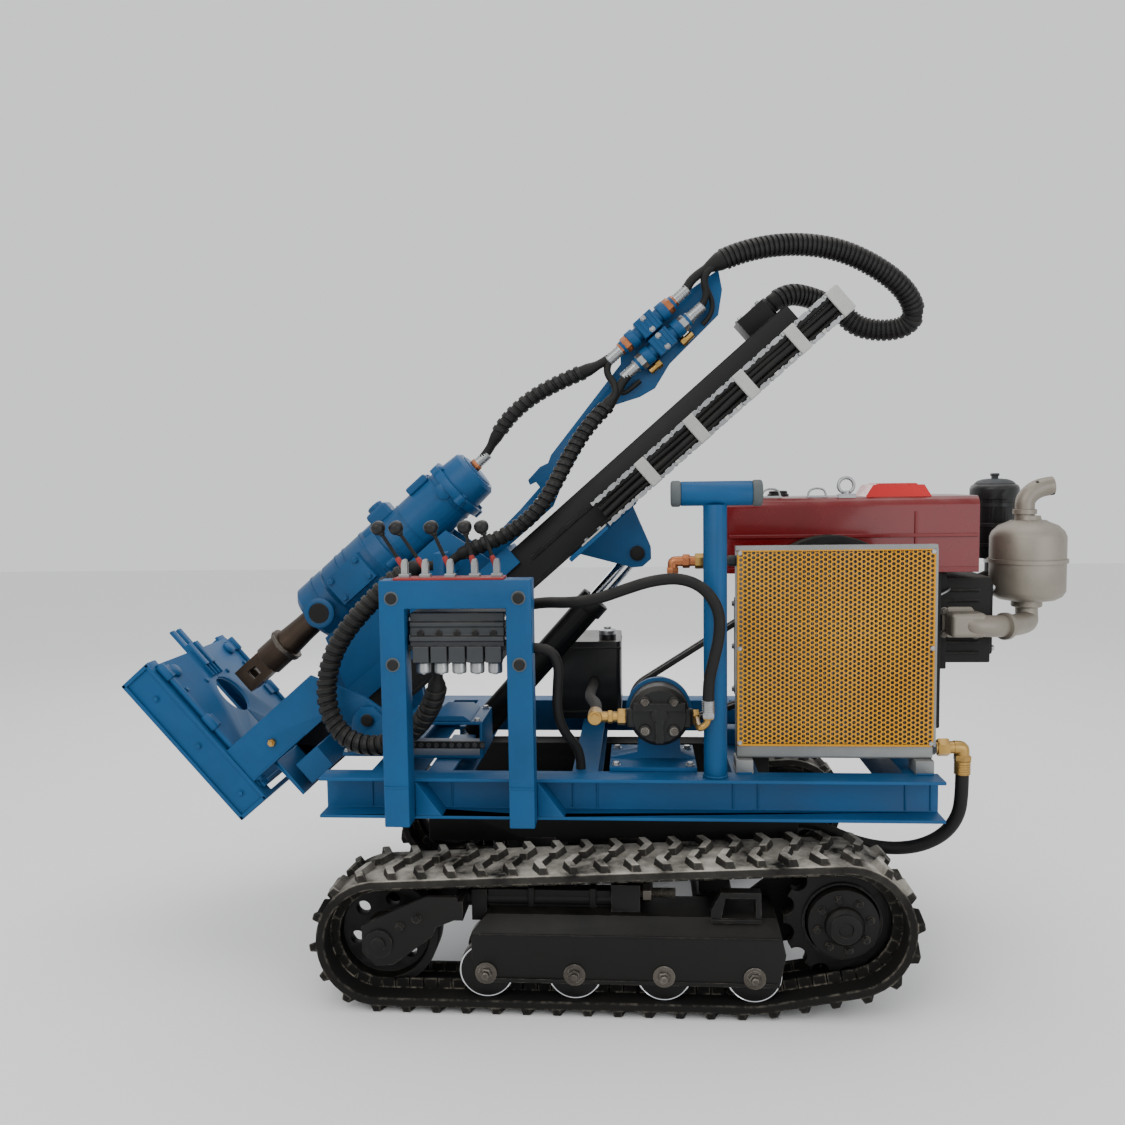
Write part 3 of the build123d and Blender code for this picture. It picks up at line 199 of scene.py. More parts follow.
finishFacts = {
    "machineBlue": {"dark": (0, 62, 102), "light": (0, 76, 124), "rough": (0.44, 0.6), "coat": 0.06, "coatRough": 0.35,
                    "wear": 0.7, "bare": (40, 76, 104), "dust": 0.1, "dustTone": (84, 96, 104), "grain": 130.0,
                    "bump": 0.12},
    "headBlue": {"dark": (0, 56, 94), "light": (0, 74, 120), "rough": (0.4, 0.54), "coat": 0.1, "coatRough": 0.3,
                 "wear": 0.5, "bare": (52, 92, 120), "dust": 0.08, "grain": 90.0, "depth": 0.0008, "bump": 0.3},
    "gearBlack": {"dark": (4, 4, 3), "light": (11, 10, 9), "rough": (0.45, 0.65), "wear": 0.8, "bare": (96, 90, 82),
                  "dust": 0.22, "dustTone": (70, 65, 57), "grain": 160.0, "bump": 0.3},
    # near-black: painted shade standing in for the mast's blue in shadow, and the plain black of the deck bar
    "blackAndMastShade": {"dark": (4, 4, 5), "light": (11, 11, 12), "rough": (0.4, 0.55), "wear": 0.4, "dust": 0.05},
    "trackRubber": {"dark": (10, 9, 8), "light": (20, 18, 15), "rough": (0.78, 0.92), "wear": 0.9, "bare": (122, 116, 104),
                    "wearRadius": 0.006, "dust": 1.0, "dustTone": (206, 200, 188), "dustFrom": (0.27, 0.33),
                    "grain": 300.0, "depth": 0.0012, "bump": 0.7},
    "rollerSteel": {"dark": (52, 48, 44), "light": (104, 98, 90), "rough": (0.35, 0.5), "metal": 0.8, "wear": 0.6,
                    "bare": (190, 186, 178), "dust": 0.2},
    "hoodRed": {"dark": (92, 2, 8), "light": (112, 6, 12), "rough": (0.22, 0.32), "coat": 0.35, "coatRough": 0.12,
                "wear": 0.25, "bare": (130, 56, 52), "dust": 0.26, "dustTone": (150, 132, 124), "grain": 60.0, "bump": 0.08},
    "capRed": {"dark": (176, 8, 14), "light": (198, 16, 20), "rough": (0.2, 0.3), "coat": 0.5, "dust": 0.2, "bump": 0.05},
    "guardYellow": {"dark": (184, 122, 4), "light": (206, 146, 14), "rough": (0.4, 0.55), "wear": 0.3,
                    "bare": (160, 130, 70), "dust": 0.15, "bump": 0.1},
    "engineIron": {"dark": (14, 14, 14), "light": (30, 29, 28), "rough": (0.5, 0.7), "metal": 0.2, "wear": 0.5, "dust": 0.3,
                   "grain": 320.0, "depth": 0.0010, "bump": 0.6},
    "castGrey": {"dark": (38, 41, 44), "light": (58, 61, 64), "rough": (0.45, 0.62), "metal": 0.35, "wear": 0.4,
                 "bare": (130, 130, 128), "dust": 0.25, "grain": 420.0, "depth": 0.0008, "bump": 0.55},
    "mufflerSilver": {"dark": (118, 111, 100), "light": (150, 144, 133), "rough": (0.38, 0.55), "metal": 0.55, "wear": 0.2,
                      "bare": (120, 96, 74), "dust": 0.22, "dustTone": (110, 98, 84), "grain": 180.0, "depth": 0.0007,
                      "bump": 0.3},
    "zincSteel": {"dark": (136, 138, 140), "light": (178, 180, 180), "rough": (0.26, 0.42), "metal": 0.85, "dust": 0.1,
                  "grain": 260.0, "bump": 0.18},
    "barGrey": {"dark": (158, 158, 154), "light": (184, 184, 180), "rough": (0.45, 0.6), "wear": 0.3, "dust": 0.15},
    "brassFitting": {"dark": (150, 118, 62), "light": (196, 158, 92), "rough": (0.26, 0.44), "metal": 0.9, "dust": 0.12,
                     "bump": 0.15},
    "copperFitting": {"dark": (150, 92, 58), "light": (190, 120, 80), "rough": (0.28, 0.46), "metal": 0.9, "bump": 0.15},
    "polishedRod": {"dark": (196, 198, 200), "light": (220, 222, 224), "rough": (0.08, 0.16), "metal": 1.0, "bump": 0.03},
    "chuckBrown": {"dark": (34, 27, 22), "light": (74, 60, 48), "rough": (0.34, 0.56), "metal": 0.7, "wear": 0.7,
                   "bare": (150, 140, 126), "grain": 200.0, "depth": 0.0009, "bump": 0.5},
    "blackPlastic": {"dark": (18, 18, 19), "light": (30, 30, 31), "rough": (0.3, 0.42), "dust": 0.2, "bump": 0.12},
    "canisterBlack": {"dark": (16, 17, 18), "light": (29, 30, 32), "rough": (0.36, 0.48), "coat": 0.2, "dust": 0.3,
                      "bump": 0.1},
    "hoseBlack": {"dark": (10, 10, 10), "light": (20, 20, 19), "rough": (0.5, 0.66), "dust": 0.18, "grain": 420.0,
                  "bump": 0.3},
    "wrapBlack": {"dark": (14, 14, 15), "light": (27, 27, 27), "rough": (0.38, 0.52), "dust": 0.26, "grain": 300.0,
                  "bump": 0.2},
    "coolerAlloy": {"dark": (112, 114, 114), "light": (144, 146, 144), "rough": (0.4, 0.55), "metal": 0.5, "wear": 0.3,
                    "dust": 0.25},
    "finDark": {"dark": (46, 36, 20), "light": (74, 60, 34), "rough": (0.5, 0.7), "metal": 0.4, "dust": 0.1, "bump": 0.2},
    "pumpBlack": {"dark": (14, 15, 15), "light": (27, 28, 28), "rough": (0.4, 0.56), "wear": 0.4, "dust": 0.2,
                  "grain": 260.0, "depth": 0.0008, "bump": 0.5},
    "dustyGreyRubber": {"dark": (66, 72, 74), "light": (92, 98, 100), "rough": (0.6, 0.75), "dust": 0.35, "bump": 0.2},
    "leverRed": {"dark": (120, 30, 30), "light": (150, 44, 40), "rough": (0.4, 0.5), "dust": 0.2},
}
finishes = {name: makeFinish(name, facts) for name, facts in finishFacts.items()}
print("finishes made:", len(finishes))


# Modelling helpers. A helper leaves its piece in object mode, with its place worked into its mesh
def pick(*objects):
    if bpy.context.mode != "OBJECT":
        bpy.ops.object.mode_set(mode="OBJECT")
    bpy.ops.object.select_all(action="DESELECT")
    for thing in objects:
        thing.select_set(True)
    bpy.context.view_layer.objects.active = objects[0] if objects else None


def openMesh(thing):
    pick(thing)
    bpy.ops.object.mode_set(mode="EDIT")
    bpy.ops.mesh.select_all(action="SELECT")


def closeMesh():
    bpy.ops.mesh.select_all(action="SELECT")
    bpy.ops.mesh.normals_make_consistent(inside=False)
    bpy.ops.object.mode_set(mode="OBJECT")


def linked(name, data):
    thing = bpy.data.objects.new(name, data)
    bpy.context.scene.collection.objects.link(thing)
    return thing


def meshFrom(name, points, faces):
    mesh = bpy.data.meshes.new(name)
    mesh.from_pydata([tuple(point) for point in points], [], faces)
    mesh.update()
    return linked(name, mesh)


def applyPlace(thing):
    pick(thing)
    bpy.ops.object.transform_apply(location=True, rotation=True, scale=True)


def withModifier(thing, kind, **settings):
    modifier = thing.modifiers.new(kind, kind)
    for key, value in settings.items():
        setattr(modifier, key, value)
    pick(thing)
    bpy.ops.object.modifier_apply(modifier=kind)
    return thing


def roundEdges(thing, width, segments=2, angle=35):
    pick(thing)
    bpy.ops.object.shade_smooth()
    return withModifier(thing, "BEVEL", width=width, segments=segments, limit_method="ANGLE", angle_limit=radians(angle),
                        harden_normals=True)


def smoothByAngle(thing, angle=35):
    pick(thing)
    bpy.ops.object.shade_smooth_by_angle(angle=radians(angle))
    return thing


def joined(things):
    pick(*things)
    if len(things) > 1:
        bpy.ops.object.join()
    return things[0]


def facing(point, direction, spin=0.0):
    turn = Vector(direction).to_track_quat("Z", "Y").to_matrix().to_4x4()
    return Matrix.Translation(point) @ turn @ Matrix.Rotation(spin, 4, "Z")


def around(count, start=0.0):
    return [2 * pi * index / count + start for index in range(count)]


# Places on a circle in X and Z, all facing one way
def ringPlaces(x, y, z, radius, turns, direction):
    return [((x + radius * cos(turn), y, z + radius * sin(turn)), direction) for turn in turns]


def copied(source, places):
    made = []
    for place in places:
        twin = linked(source.name, source.data.copy())
        twin.data.transform(place)
        made.append(twin)
    bpy.data.objects.remove(source)
    return joined(made)


def shifted(source, steps):
    return copied(source, [Matrix.Translation(step) for step in steps])


def block(x0, x1, y0, y1, z0, z1, edge=0.0015, segments=2):
    middle = ((x0 + x1) / 2, (y0 + y1) / 2, (z0 + z1) / 2)
    bpy.ops.mesh.primitive_cube_add(size=1, location=middle)
    thing = bpy.context.active_object
    thing.scale = (abs(x1 - x0), abs(y1 - y0), abs(z1 - z0))
    applyPlace(thing)
    return roundEdges(thing, edge, segments) if edge else thing


# A turned piece: a disc, pushed out step by step along Z and scaled at each step
def turned(steps, segments=32):
    z, radius = steps[0]
    bpy.ops.mesh.primitive_circle_add(vertices=segments, radius=radius, fill_type="NGON", location=(0, 0, z))
    thing = bpy.context.active_object
    openMesh(thing)
    for nextZ, nextRadius in steps[1:]:
        bpy.ops.mesh.extrude_region_move(TRANSFORM_OT_translate={"value": (0, 0, nextZ - z)})
        share = nextRadius / radius
        bpy.ops.transform.resize(value=(share, share, 1), center_override=(0, 0, nextZ))
        z, radius = nextZ, nextRadius
    closeMesh()
    applyPlace(thing)
    return smoothByAngle(thing)


def turnedAt(steps, point, direction, segments=32):
    thing = turned(steps, segments)
    thing.data.transform(facing(point, direction))
    return thing


# Three common turned pieces: a plain rod, a button with a slanted rim, and a hexagon nut
def rodAt(radius, length, point, direction, segments=20):
    return turnedAt([(0, radius), (length, radius)], point, direction, segments)


def buttonAt(radius, height, top, topRadius, point, direction, segments=32):
    return turnedAt([(0, radius), (height, radius), (top, topRadius)], point, direction, segments)


def nutAt(point, direction, size, height):
    steps = [(0, size * 0.92), (height * 0.12, size), (height * 0.88, size), (height, size * 0.92)]
    return turnedAt(steps, point, direction, 6)


# A flat outline in X and Z, filled, pushed through along Y and given soft edges
def plate(points, y0, y1, edge=0.0015):
    thing = meshFrom("plate", [(x, y0, z) for x, z in points], [list(range(len(points)))])
    openMesh(thing)
    bpy.ops.mesh.extrude_region_move(TRANSFORM_OT_translate={"value": (0, y1 - y0, 0)})
    closeMesh()
    return roundEdges(thing, edge)


def wireRing(radius, wire, segments, sides, place):
    bpy.ops.mesh.primitive_torus_add(major_radius=radius, minor_radius=wire, major_segments=segments, minor_segments=sides)
    ring = bpy.context.active_object
    ring.data.transform(place)
    return ring


# A piece goes to its body with its finish, and takes the place of the nodes that it stands for
def dress(thing, name, finish, body, nodes=()):
    thing.name = name
    thing.data.name = name
    thing.data.materials.clear()
    thing.data.materials.append(finishes[finish])
    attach(thing, body)
    if nodes:
        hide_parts(*nodes)
    return thing


def settle(pieces, name, finish, body="root", nodes=()):
    thing = joined(pieces) if isinstance(pieces, list) else pieces
    if body in mastBodies:
        thing.data.transform(mastTurn)
    return dress(thing, name, finish, body, nodes)


# A copy of a node with its loose triangles merged and its edges softened
def soften(node, finish, width=0.0015, segments=2, angle=35):
    thing = linked(node, frame["nodes"][node].data.copy())
    openMesh(thing)
    bpy.ops.mesh.remove_doubles(threshold=0.00002)
    bpy.ops.mesh.dissolve_limited(angle_limit=radians(0.6))
    bpy.ops.object.mode_set(mode="OBJECT")
    roundEdges(thing, width, segments, angle)
    return dress(thing, node + "Finished", finish, frame["nodes"][node]["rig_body"], [node])


# A second finish on the faces whose middle passes a test
def paint(thing, finish, test, onMast=False):
    thing.data.materials.append(finishes[finish])
    index = len(thing.data.materials) - 1
    for face in thing.data.polygons:
        if test(fromMast @ face.center if onMast else face.center):
            face.material_index = index


def boltRow(name, places, size=0.009, height=0.008, finish="zincSteel", body="root"):
    washer = [(-0.0001, size * 1.22), (height * 0.24, size * 1.22), (height * 0.26, size * 1.1)]
    head = joined([turned([(0.0, size), (height * 0.82, size), (height, size * 0.86)], 6), turned(washer, 20)])
    turns = [facing(point, direction, 0.4 + 0.7 * index) for index, (point, direction) in enumerate(places)]
    return settle(copied(head, turns), name, finish, body)


# Camera at the photograph's place
cameraFacts = {"place": (0.074, -2.880, 1.272), "lens": 32.8, "turn": 4.23, "down": 4.59, "roll": -0.81}
cameraData = bpy.data.cameras.new("camera")
cameraData.lens = cameraFacts["lens"]
cameraData.sensor_width = 36
camera = linked("camera", cameraData)
cameraPlace = Matrix.Translation(cameraFacts["place"])
for turn, axis in ((cameraFacts["turn"], "Z"), (90 - cameraFacts["down"], "X"), (cameraFacts["roll"], "Z")):
    cameraPlace = cameraPlace @ Matrix.Rotation(radians(turn), 4, axis)
camera.matrix_world = cameraPlace
bpy.context.scene.camera = camera


# Hoses: a smooth line follows the points of its route, given in millimetres as (x, z, y), or on the mast as (s, n, y)
def rowPoints(*triples):
    return [Vector((x / 1000, y / 1000, z / 1000)) for x, z, y in triples]


def mastRow(*triples):
    return [mastTurn @ point for point in rowPoints(*triples)]


# A wrap has its pitch and the width of its band; the spread is where the bundle begins and ends, as shares of the line
hoseFacts = {
    "pump_hose": {"diameter": 0.027, "length": 0.861, "route": rowPoints(
        (-290, 940, -427.7), (-290, 940, -400), (-254, 952, -380), (-206, 966, -386), (-152, 977, -412), (-92, 979, -446),
        (-24, 990, -472), (40, 1014, -486), (106, 1036, -494), (174, 1042, -496), (228, 1018, -496), (262, 966, -494),
        (262, 904, -496), (246, 840, -494), (236, 792, -486), (236, 752.3, -486))},
    "return_hose": {"diameter": 0.024, "length": 0.397, "route": rowPoints(
        (-171.7, 880, -505), (-134, 880, -505), (-114, 838, -496), (-120, 780, -478), (-124, 716, -460), (-108, 656, -426),
        (-72, 604, -384), (-72, 557.3, -384))},
    "cooler_hose": {"diameter": 0.032, "length": 0.544, "route": rowPoints(
        (856, 544.7, -372), (856, 498, -372), (852, 440, -364), (824, 388, -350), (772, 352, -334), (706, 338, -320),
        (634, 344, -306), (560, 370, -298), (512, 394, -290), (470.3, 394, -290))},
    "suction_hose": {"diameter": 0.030, "length": 0.482, "route": rowPoints(
        (-36, 684, -329.7), (-36, 684, -280), (-42, 680, -190), (-56, 668, -100), (-66, 662, -12), (-64, 664, 60),
        (-60, 668, 104), (-60, 668, 149.7))},
    "head_hose": {"diameter": 0.044, "length": 0.543, "wrap": (0.021, 0.0146), "spread": (0.2, 0.8), "route":
        mastRow((568.3, 1244, 0), (614, 1244, 0))
        + rowPoints((-318, 1400, -8), (-280, 1452, -12), (-216, 1504, -18), (-130, 1546, -28))
        + mastRow((1040, 1206, -38), (1094.7, 1206, -38))},
    "bulkhead_hose": {"diameter": 0.044, "length": 0.769, "wrap": (0.021, 0.0146), "spread": (0.17, 0.95), "route":
        mastRow((1094.7, 1144, -38), (1052, 1144, -38))
        + rowPoints((10, 1488, -52), (-54, 1424, -80), (-104, 1348, -98), (-144, 1270, -112), (-184, 1204, -120),
                    (-242, 1150, -122), (-310, 1112, -122))
        + mastRow((402, 1082, -116), (360.3, 1082, -116))},
    "valve_hose": {"diameter": 0.052, "length": 1.039, "wrap": (0.022, 0.015), "spread": (0.06, 0.95), "route": rowPoints(
        (-412, 844.7, -448), (-412, 788, -448), (-438, 716, -420), (-492, 648, -382), (-562, 606, -352), (-640, 600, -340),
        (-700, 634, -332), (-730, 700, -324), (-730, 776, -318), (-706, 850, -314), (-660, 916, -312), (-606, 972, -310),
        (-556, 1020, -310), (-490, 1060, -310), (-440.3, 1060, -310))},
    "loop_hose": {"diameter": 0.060, "wrap": (0.0135, 0.0098), "spread": (0.13, 0.93), "route":
        mastRow((1280.3, 1206, -38), (1324.3, 1206, -38))
        + rowPoints((226, 1812, -40), (306, 1860, -40), (404, 1890, -30), (512, 1902, -6), (622, 1888, 10), (722, 1845, 24),
                    (806, 1786, 40), (846, 1722, 62), (826, 1684, 84), (762, 1676, 100), (692, 1692, 108))
        + mastRow((1630, 884, 110), (1590, 972, 96), (1536, 1027, 64), (1484.3, 1027, 64))},
}
bundleFacts = {"single": 0.0125, "wrapThick": 0.0042, "wrapSteps": 20, "inset": 0.0040}


def routeCurve(points):
    curve = bpy.data.curves.new("line", "CURVE")
    curve.dimensions = "3D"
    curve.resolution_u = 12
    spline = curve.splines.new("NURBS")
    spline.points.add(len(points) - 1)
    for point, place in zip(spline.points, points):
        point.co = (*place, 1.0)
    spline.order_u = 3
    spline.use_endpoint_u = True
    return linked("line", curve)


# Evenly spaced stations along a smooth line, each with two directions square to it
def stationsOf(points, spacing=0.006):
    thing = routeCurve(points)
    mesh = bpy.data.meshes.new_from_object(thing)
    line = [vertex.co.copy() for vertex in mesh.vertices]
    curve = thing.data
    bpy.data.objects.remove(thing)
    bpy.data.curves.remove(curve)
    bpy.data.meshes.remove(mesh)
    lengths = [0.0]
    for first, second in zip(line, line[1:]):
        lengths.append(lengths[-1] + (second - first).length)
    count = max(2, ceil(lengths[-1] / spacing))
    stations, index = [], 0
    for step in range(count + 1):
        distance = lengths[-1] * step / count
        while index < len(line) - 2 and lengths[index + 1] < distance:
            index += 1
        share = (distance - lengths[index]) / max(lengths[index + 1] - lengths[index], nearZero)
        stations.append(line[index].lerp(line[index + 1], min(share, 1.0)))
    frames = []
    normal = None
    for step, place in enumerate(stations):
        before, after = stations[max(step - 1, 0)], stations[min(step + 1, count)]
        along = (after - before).normalized()
        if normal is None:
            normal = along.orthogonal().normalized()
        normal = (normal - along * normal.dot(along)).normalized()
        frames.append((place, along, normal, along.cross(normal)))
    return frames, lengths[-1]


# Faces of a skin over rows of points, each row a ring, with both ends closed
def ringSkin(name, points, sides, angle):
    rows = len(points) // sides
    faces = []
    for row in range(rows - 1):
        for index in range(sides):
            a, b = row * sides + index, row * sides + (index + 1) % sides
            faces.append((a, b, b + sides, a + sides))
    faces.append(tuple(range(sides - 1, -1, -1)))
    faces.append(tuple(range((rows - 1) * sides, rows * sides)))
    return smoothByAngle(meshFrom(name, points, faces), angle)


# A round tube along stations, closed at its ends
def tubeAlong(frames, radius, sides=20):
    points = []
    for place, along, normal, side in frames:
        points += [place + (normal * cos(turn) + side * sin(turn)) * radius for turn in around(sides)]
    return ringSkin("tube", points, sides, 50)


# Each ring of a tube scaled about its own station
def scaleRings(tube, frames, sides, shares):
    for row, share in enumerate(shares):
        for vertex in tube.data.vertices[row * sides:(row + 1) * sides]:
            vertex.co = frames[row][0] + (vertex.co - frames[row][0]) * share
    return tube


def pipe(points, radius, sides=20, spacing=0.006):
    return tubeAlong(stationsOf([Vector(point) for point in points], spacing)[0], radius, sides)


# A flat band wound round a hose, its edges turned in, from a start to an end share of the line
def wrapAlong(facts, frames, length, start, end):
    pitch, width = facts["wrap"]
    radius, thick = facts["diameter"] / 2 - bundleFacts["inset"], bundleFacts["wrapThick"]
    profile = [(-0.5, -thick * 0.3), (-0.5, thick * 0.4), (-0.36, thick), (0.36, thick),
               (0.5, thick * 0.4), (0.5, -thick * 0.3)]
    low, high = length * start + width, length * end - width
    count = int((high - low) / pitch * bundleFacts["wrapSteps"])
    points = []
    for step in range(count + 1):
        distance = low + (high - low) * step / count
        turn = 2 * pi * distance / pitch
        for share, out in profile:
            spot = (distance + share * width) / length * (len(frames) - 1)
            index = max(0, min(int(spot), len(frames) - 2))
            place, normal, side = (frames[index][part].lerp(frames[index + 1][part], spot - index) for part in (0, 2, 3))
            points.append(place + (normal * cos(turn) + side * sin(turn)) * (radius + out))
    return ringSkin("wrap", points, len(profile), 40)


# The tube is thin where its single hoses still run apart, from its start and before its end
def bundleAlong(frames, full, thin, low, high):
    shares = []
    for row in range(len(frames)):
        share = row / (len(frames) - 1)
        rise = min(share / low, (1 - share) / (1 - high) if high < 1 else 1.0, 1.0)
        shares.append((thin + (full - thin) * max(0.0, min(1.0, (rise - 0.75) * 4))) / full)
    return scaleRings(tubeAlong(frames, full), frames, 20, shares)


def finishHose(thing, name, finish):
    thing.name = name
    thing.data.name = name
    thing.data.materials.append(finishes[finish])


def layHose(node):
    facts = hoseFacts[node]
    frames, length = stationsOf(facts["route"])
    pieces, wraps = [], {}
    if "wrap" in facts:
        full = facts["diameter"] / 2 - bundleFacts["inset"]
        pieces.append(bundleAlong(frames, full, bundleFacts["single"], *facts["spread"]))
        pieces.append(wrapAlong(facts, frames, length, *facts["spread"]))
        finishHose(pieces[1], node + "Wrap", "wrapBlack")
        wraps["with_pieces"] = pieces[1:]
    else:
        pieces.append(tubeAlong(frames, facts["diameter"] / 2, 24))
    finishHose(pieces[0], node + "Line", "hoseBlack")
    for thing in pieces:
        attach(thing, frame["nodes"][node]["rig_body"])
    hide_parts(node)
    print(node, "line length", round(length, 3))
    return frames


# The loop hose crosses the feed: its high run curves from mast to head and is left on no body, its low run rides on the
# mast
def loopHose():
    facts = hoseFacts["loop_hose"]
    frames, length = stationsOf(facts["route"])
    full = facts["diameter"] / 2 - bundleFacts["inset"]
    turnRow = max(range(len(frames)), key=lambda row: frames[row][0].x)
    highRows, lowRows = frames[:turnRow + 1], frames[turnRow:]
    highLength = length * turnRow / (len(frames) - 1)
    lowLength = length - highLength
    start = facts["spread"][0] * length / highLength
    highLine = bundleAlong(highRows, full, bundleFacts["single"], start, 1.0)
    highWrap = wrapAlong(facts, highRows, highLength, start, 1.0)
    lowLine = bundleAlong(lowRows, full, full * 0.8, 0.0001, 0.999)
    lowWrap = wrapAlong(facts, lowRows, lowLength, 0.0, 0.97)
    for line, wrap, name in ((highLine, highWrap, "loopHigh"), (lowLine, lowWrap, "loopLow")):
        finishHose(line, name + "Line", "hoseBlack")
        finishHose(wrap, name + "Wrap", "wrapBlack")
    for thing in (lowLine, lowWrap):
        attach(thing, "mast")
    for thing in (highLine, highWrap):
        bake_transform(thing)
    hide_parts("loop_hose")
    print("loop hose length", round(length, 3))
    return frames


hoseFrames = {node: layHose(node) for node in hoseFacts if node != "loop_hose"}
hoseFrames["loop_hose"] = loopHose()
print("hoses laid:", len(hoseFrames))


# Floor and lights
def makeStage():
    bpy.ops.mesh.primitive_plane_add(size=24, location=(0, 0, 0))
    floor = bpy.context.active_object
    floor.name = "floor"
    material = bpy.data.materials.new("paleFloor")
    material.use_nodes = True
    shader = material.node_tree.nodes["Principled BSDF"].inputs
    shader["Base Color"].default_value = (0.86, 0.86, 0.85, 1)
    shader["Roughness"].default_value = 0.85
    floor.data.materials.append(material)
    world = bpy.data.worlds.new("studio")
    bpy.context.scene.world = world
    world.use_nodes = True
    sky = world.node_tree.nodes["Background"].inputs
    sky["Color"].default_value = (0.97, 0.98, 1.0, 1)
    sky["Strength"].default_value = 1.0
    lampFacts = (
        ("keyLamp", (-1.6, -3.6, 3.6), 3.0, 78, (1.0, 0.98, 0.95)),
        ("fillLamp", (2.8, -3.4, 1.6), 2.6, 40, (0.95, 0.97, 1.0)),
        ("topLamp", (0.4, 0.6, 4.4), 3.4, 64, (1.0, 1.0, 1.0)),
        ("backLamp", (-0.8, 3.8, 2.8), 3.0, 40, (1.0, 0.98, 0.96)),
    )
    for name, place, size, power, colour in lampFacts:
        lampData = bpy.data.lights.new(name, "AREA")
        lampData.size = size
        lampData.energy = power
        lampData.color = colour
        lamp = linked(name, lampData)
        lamp.location = place
        lamp.rotation_euler = (Vector((0, 0, 0.8)) - Vector(place)).to_track_quat("-Z", "Y").to_euler()


makeStage()
print("floor and lights set")


# Tracks: the belt's own loop, as lines and arcs round sprocket and idler
trackFacts = {
    "outerY": 0.550, "innerY": 0.350, "thick": 0.021, "links": 44, "lugHeight": 0.018, "lugRoot": 0.003, "lugHalf": 0.046,
    "sprocket": (0.550, 0.220, 0.139), "idler": (-0.553, 0.172, 0.133), "lowZ": 0.039, "riseX": 0.344, "stations": 176,
    "strips": (0.012, 0.040, 0.048, 0.048, 0.040, 0.012), "guideY": (0.4925, 0.4075),
}


def beltSegments(offset):
    facts = trackFacts
    sx, sz, sr = facts["sprocket"]
    ix, iz, ir = facts["idler"]
    rise = sz - facts["lowZ"]
    span = hypot(sx - facts["riseX"], rise)
    climb = atan2(rise, sx - facts["riseX"]) - asin(sr / span)
    top = atan2(sz - iz, sx - ix) + asin((sr - ir) / hypot(sx - ix, sz - iz))
    rs, ri, lowZ = sr + offset, ir + offset, facts["lowZ"] - offset
    corner = (facts["riseX"] + offset * tan(climb / 2), lowZ)
    offClimb = (sx + rs * sin(climb), sz - rs * cos(climb))
    onTop = (sx - rs * sin(top), sz + rs * cos(top))
    offTop = (ix - ri * sin(top), iz + ri * cos(top))
    return [
        ("line", (ix, lowZ), corner), ("line", corner, offClimb), ("arc", (sx, sz), rs, climb - pi / 2, top + pi / 2),
        ("line", onTop, offTop), ("arc", (ix, iz), ri, top + pi / 2, 3 * pi / 2),
    ]


def beltPlaces(offset, count, shift):
    segments = beltSegments(offset)
    lengths = []
    for kind, *row in segments:
        if kind == "line":
            lengths.append(hypot(row[1][0] - row[0][0], row[1][1] - row[0][1]))
        else:
            lengths.append(row[1] * (row[3] - row[2]))
    pitch = sum(lengths) / count
    places = []
    for step in range(count):
        left = (step + shift) * pitch
        for (kind, *row), length in zip(segments, lengths):
            if left <= length:
                break
            left -= length
        if kind == "line":
            (x0, z0), (x1, z1) = row
            share = left / length
            places.append((x0 + (x1 - x0) * share, z0 + (z1 - z0) * share, atan2(z1 - z0, x1 - x0)))
        else:
            centre, radius, start, end = row
            turn = start + left / radius
            places.append((centre[0] + radius * cos(turn), centre[1] + radius * sin(turn), turn + pi / 2))
    return places


# Places on the belt: X along it, Y across, Z out of it
def beltMatrices(offset, count, shift, y):
    matrices = []
    for x, z, direction in beltPlaces(offset, count, shift):
        along = Vector((cos(direction), 0, sin(direction)))
        outward = Vector((sin(direction), 0, -cos(direction)))
        turn = Matrix((along, outward.cross(along), outward)).transposed().to_4x4()
        matrices.append(Matrix.Translation((x, y, z)) @ turn)
    return matrices


def beltBody(side):
    facts = trackFacts
    bpy.ops.mesh.primitive_circle_add(vertices=facts["stations"], radius=1, location=(0, 0, 0))
    belt = bpy.context.active_object
    for vertex, (x, z, direction) in zip(belt.data.vertices, beltPlaces(0.0, facts["stations"], 0.0)):
        vertex.co = (x, side * facts["outerY"], z)
    openMesh(belt)
    for step in facts["strips"]:
        bpy.ops.mesh.extrude_edges_move(TRANSFORM_OT_translate={"value": (0, -side * step, 0)})
    closeMesh()
    withModifier(belt, "SOLIDIFY", thickness=facts["thick"], offset=1.0)
    if min(vertex.co.z for vertex in belt.data.vertices) > facts["lowZ"] - facts["thick"] * 0.5:
        raise RuntimeError("belt wall grew inwards")
    return roundEdges(belt, 0.003, 2, 50)


def chevronLug(flip):
    half, root = trackFacts["lugHalf"], trackFacts["lugRoot"]
    outline = [(-0.026, -half), (-0.001, -half), (0.022, 0.0), (-0.001, half), (-0.026, half), (-0.005, 0.0)]
    lug = meshFrom("lug", [(flip * u, v, -root) for u, v in outline], [list(range(len(outline)))])
    openMesh(lug)
    bpy.ops.mesh.extrude_region_move(TRANSFORM_OT_translate={"value": (0, 0, trackFacts["lugHeight"] + root)})
    bpy.ops.transform.resize(value=(0.74, 0.93, 1), center_override=(-0.003 * flip, 0, 0))
    closeMesh()
    return roundEdges(lug, 0.0022, 1, 30)


def bothSides(make):
    for side, name in ((-1, "near"), (1, "far")):
        make(side, name)


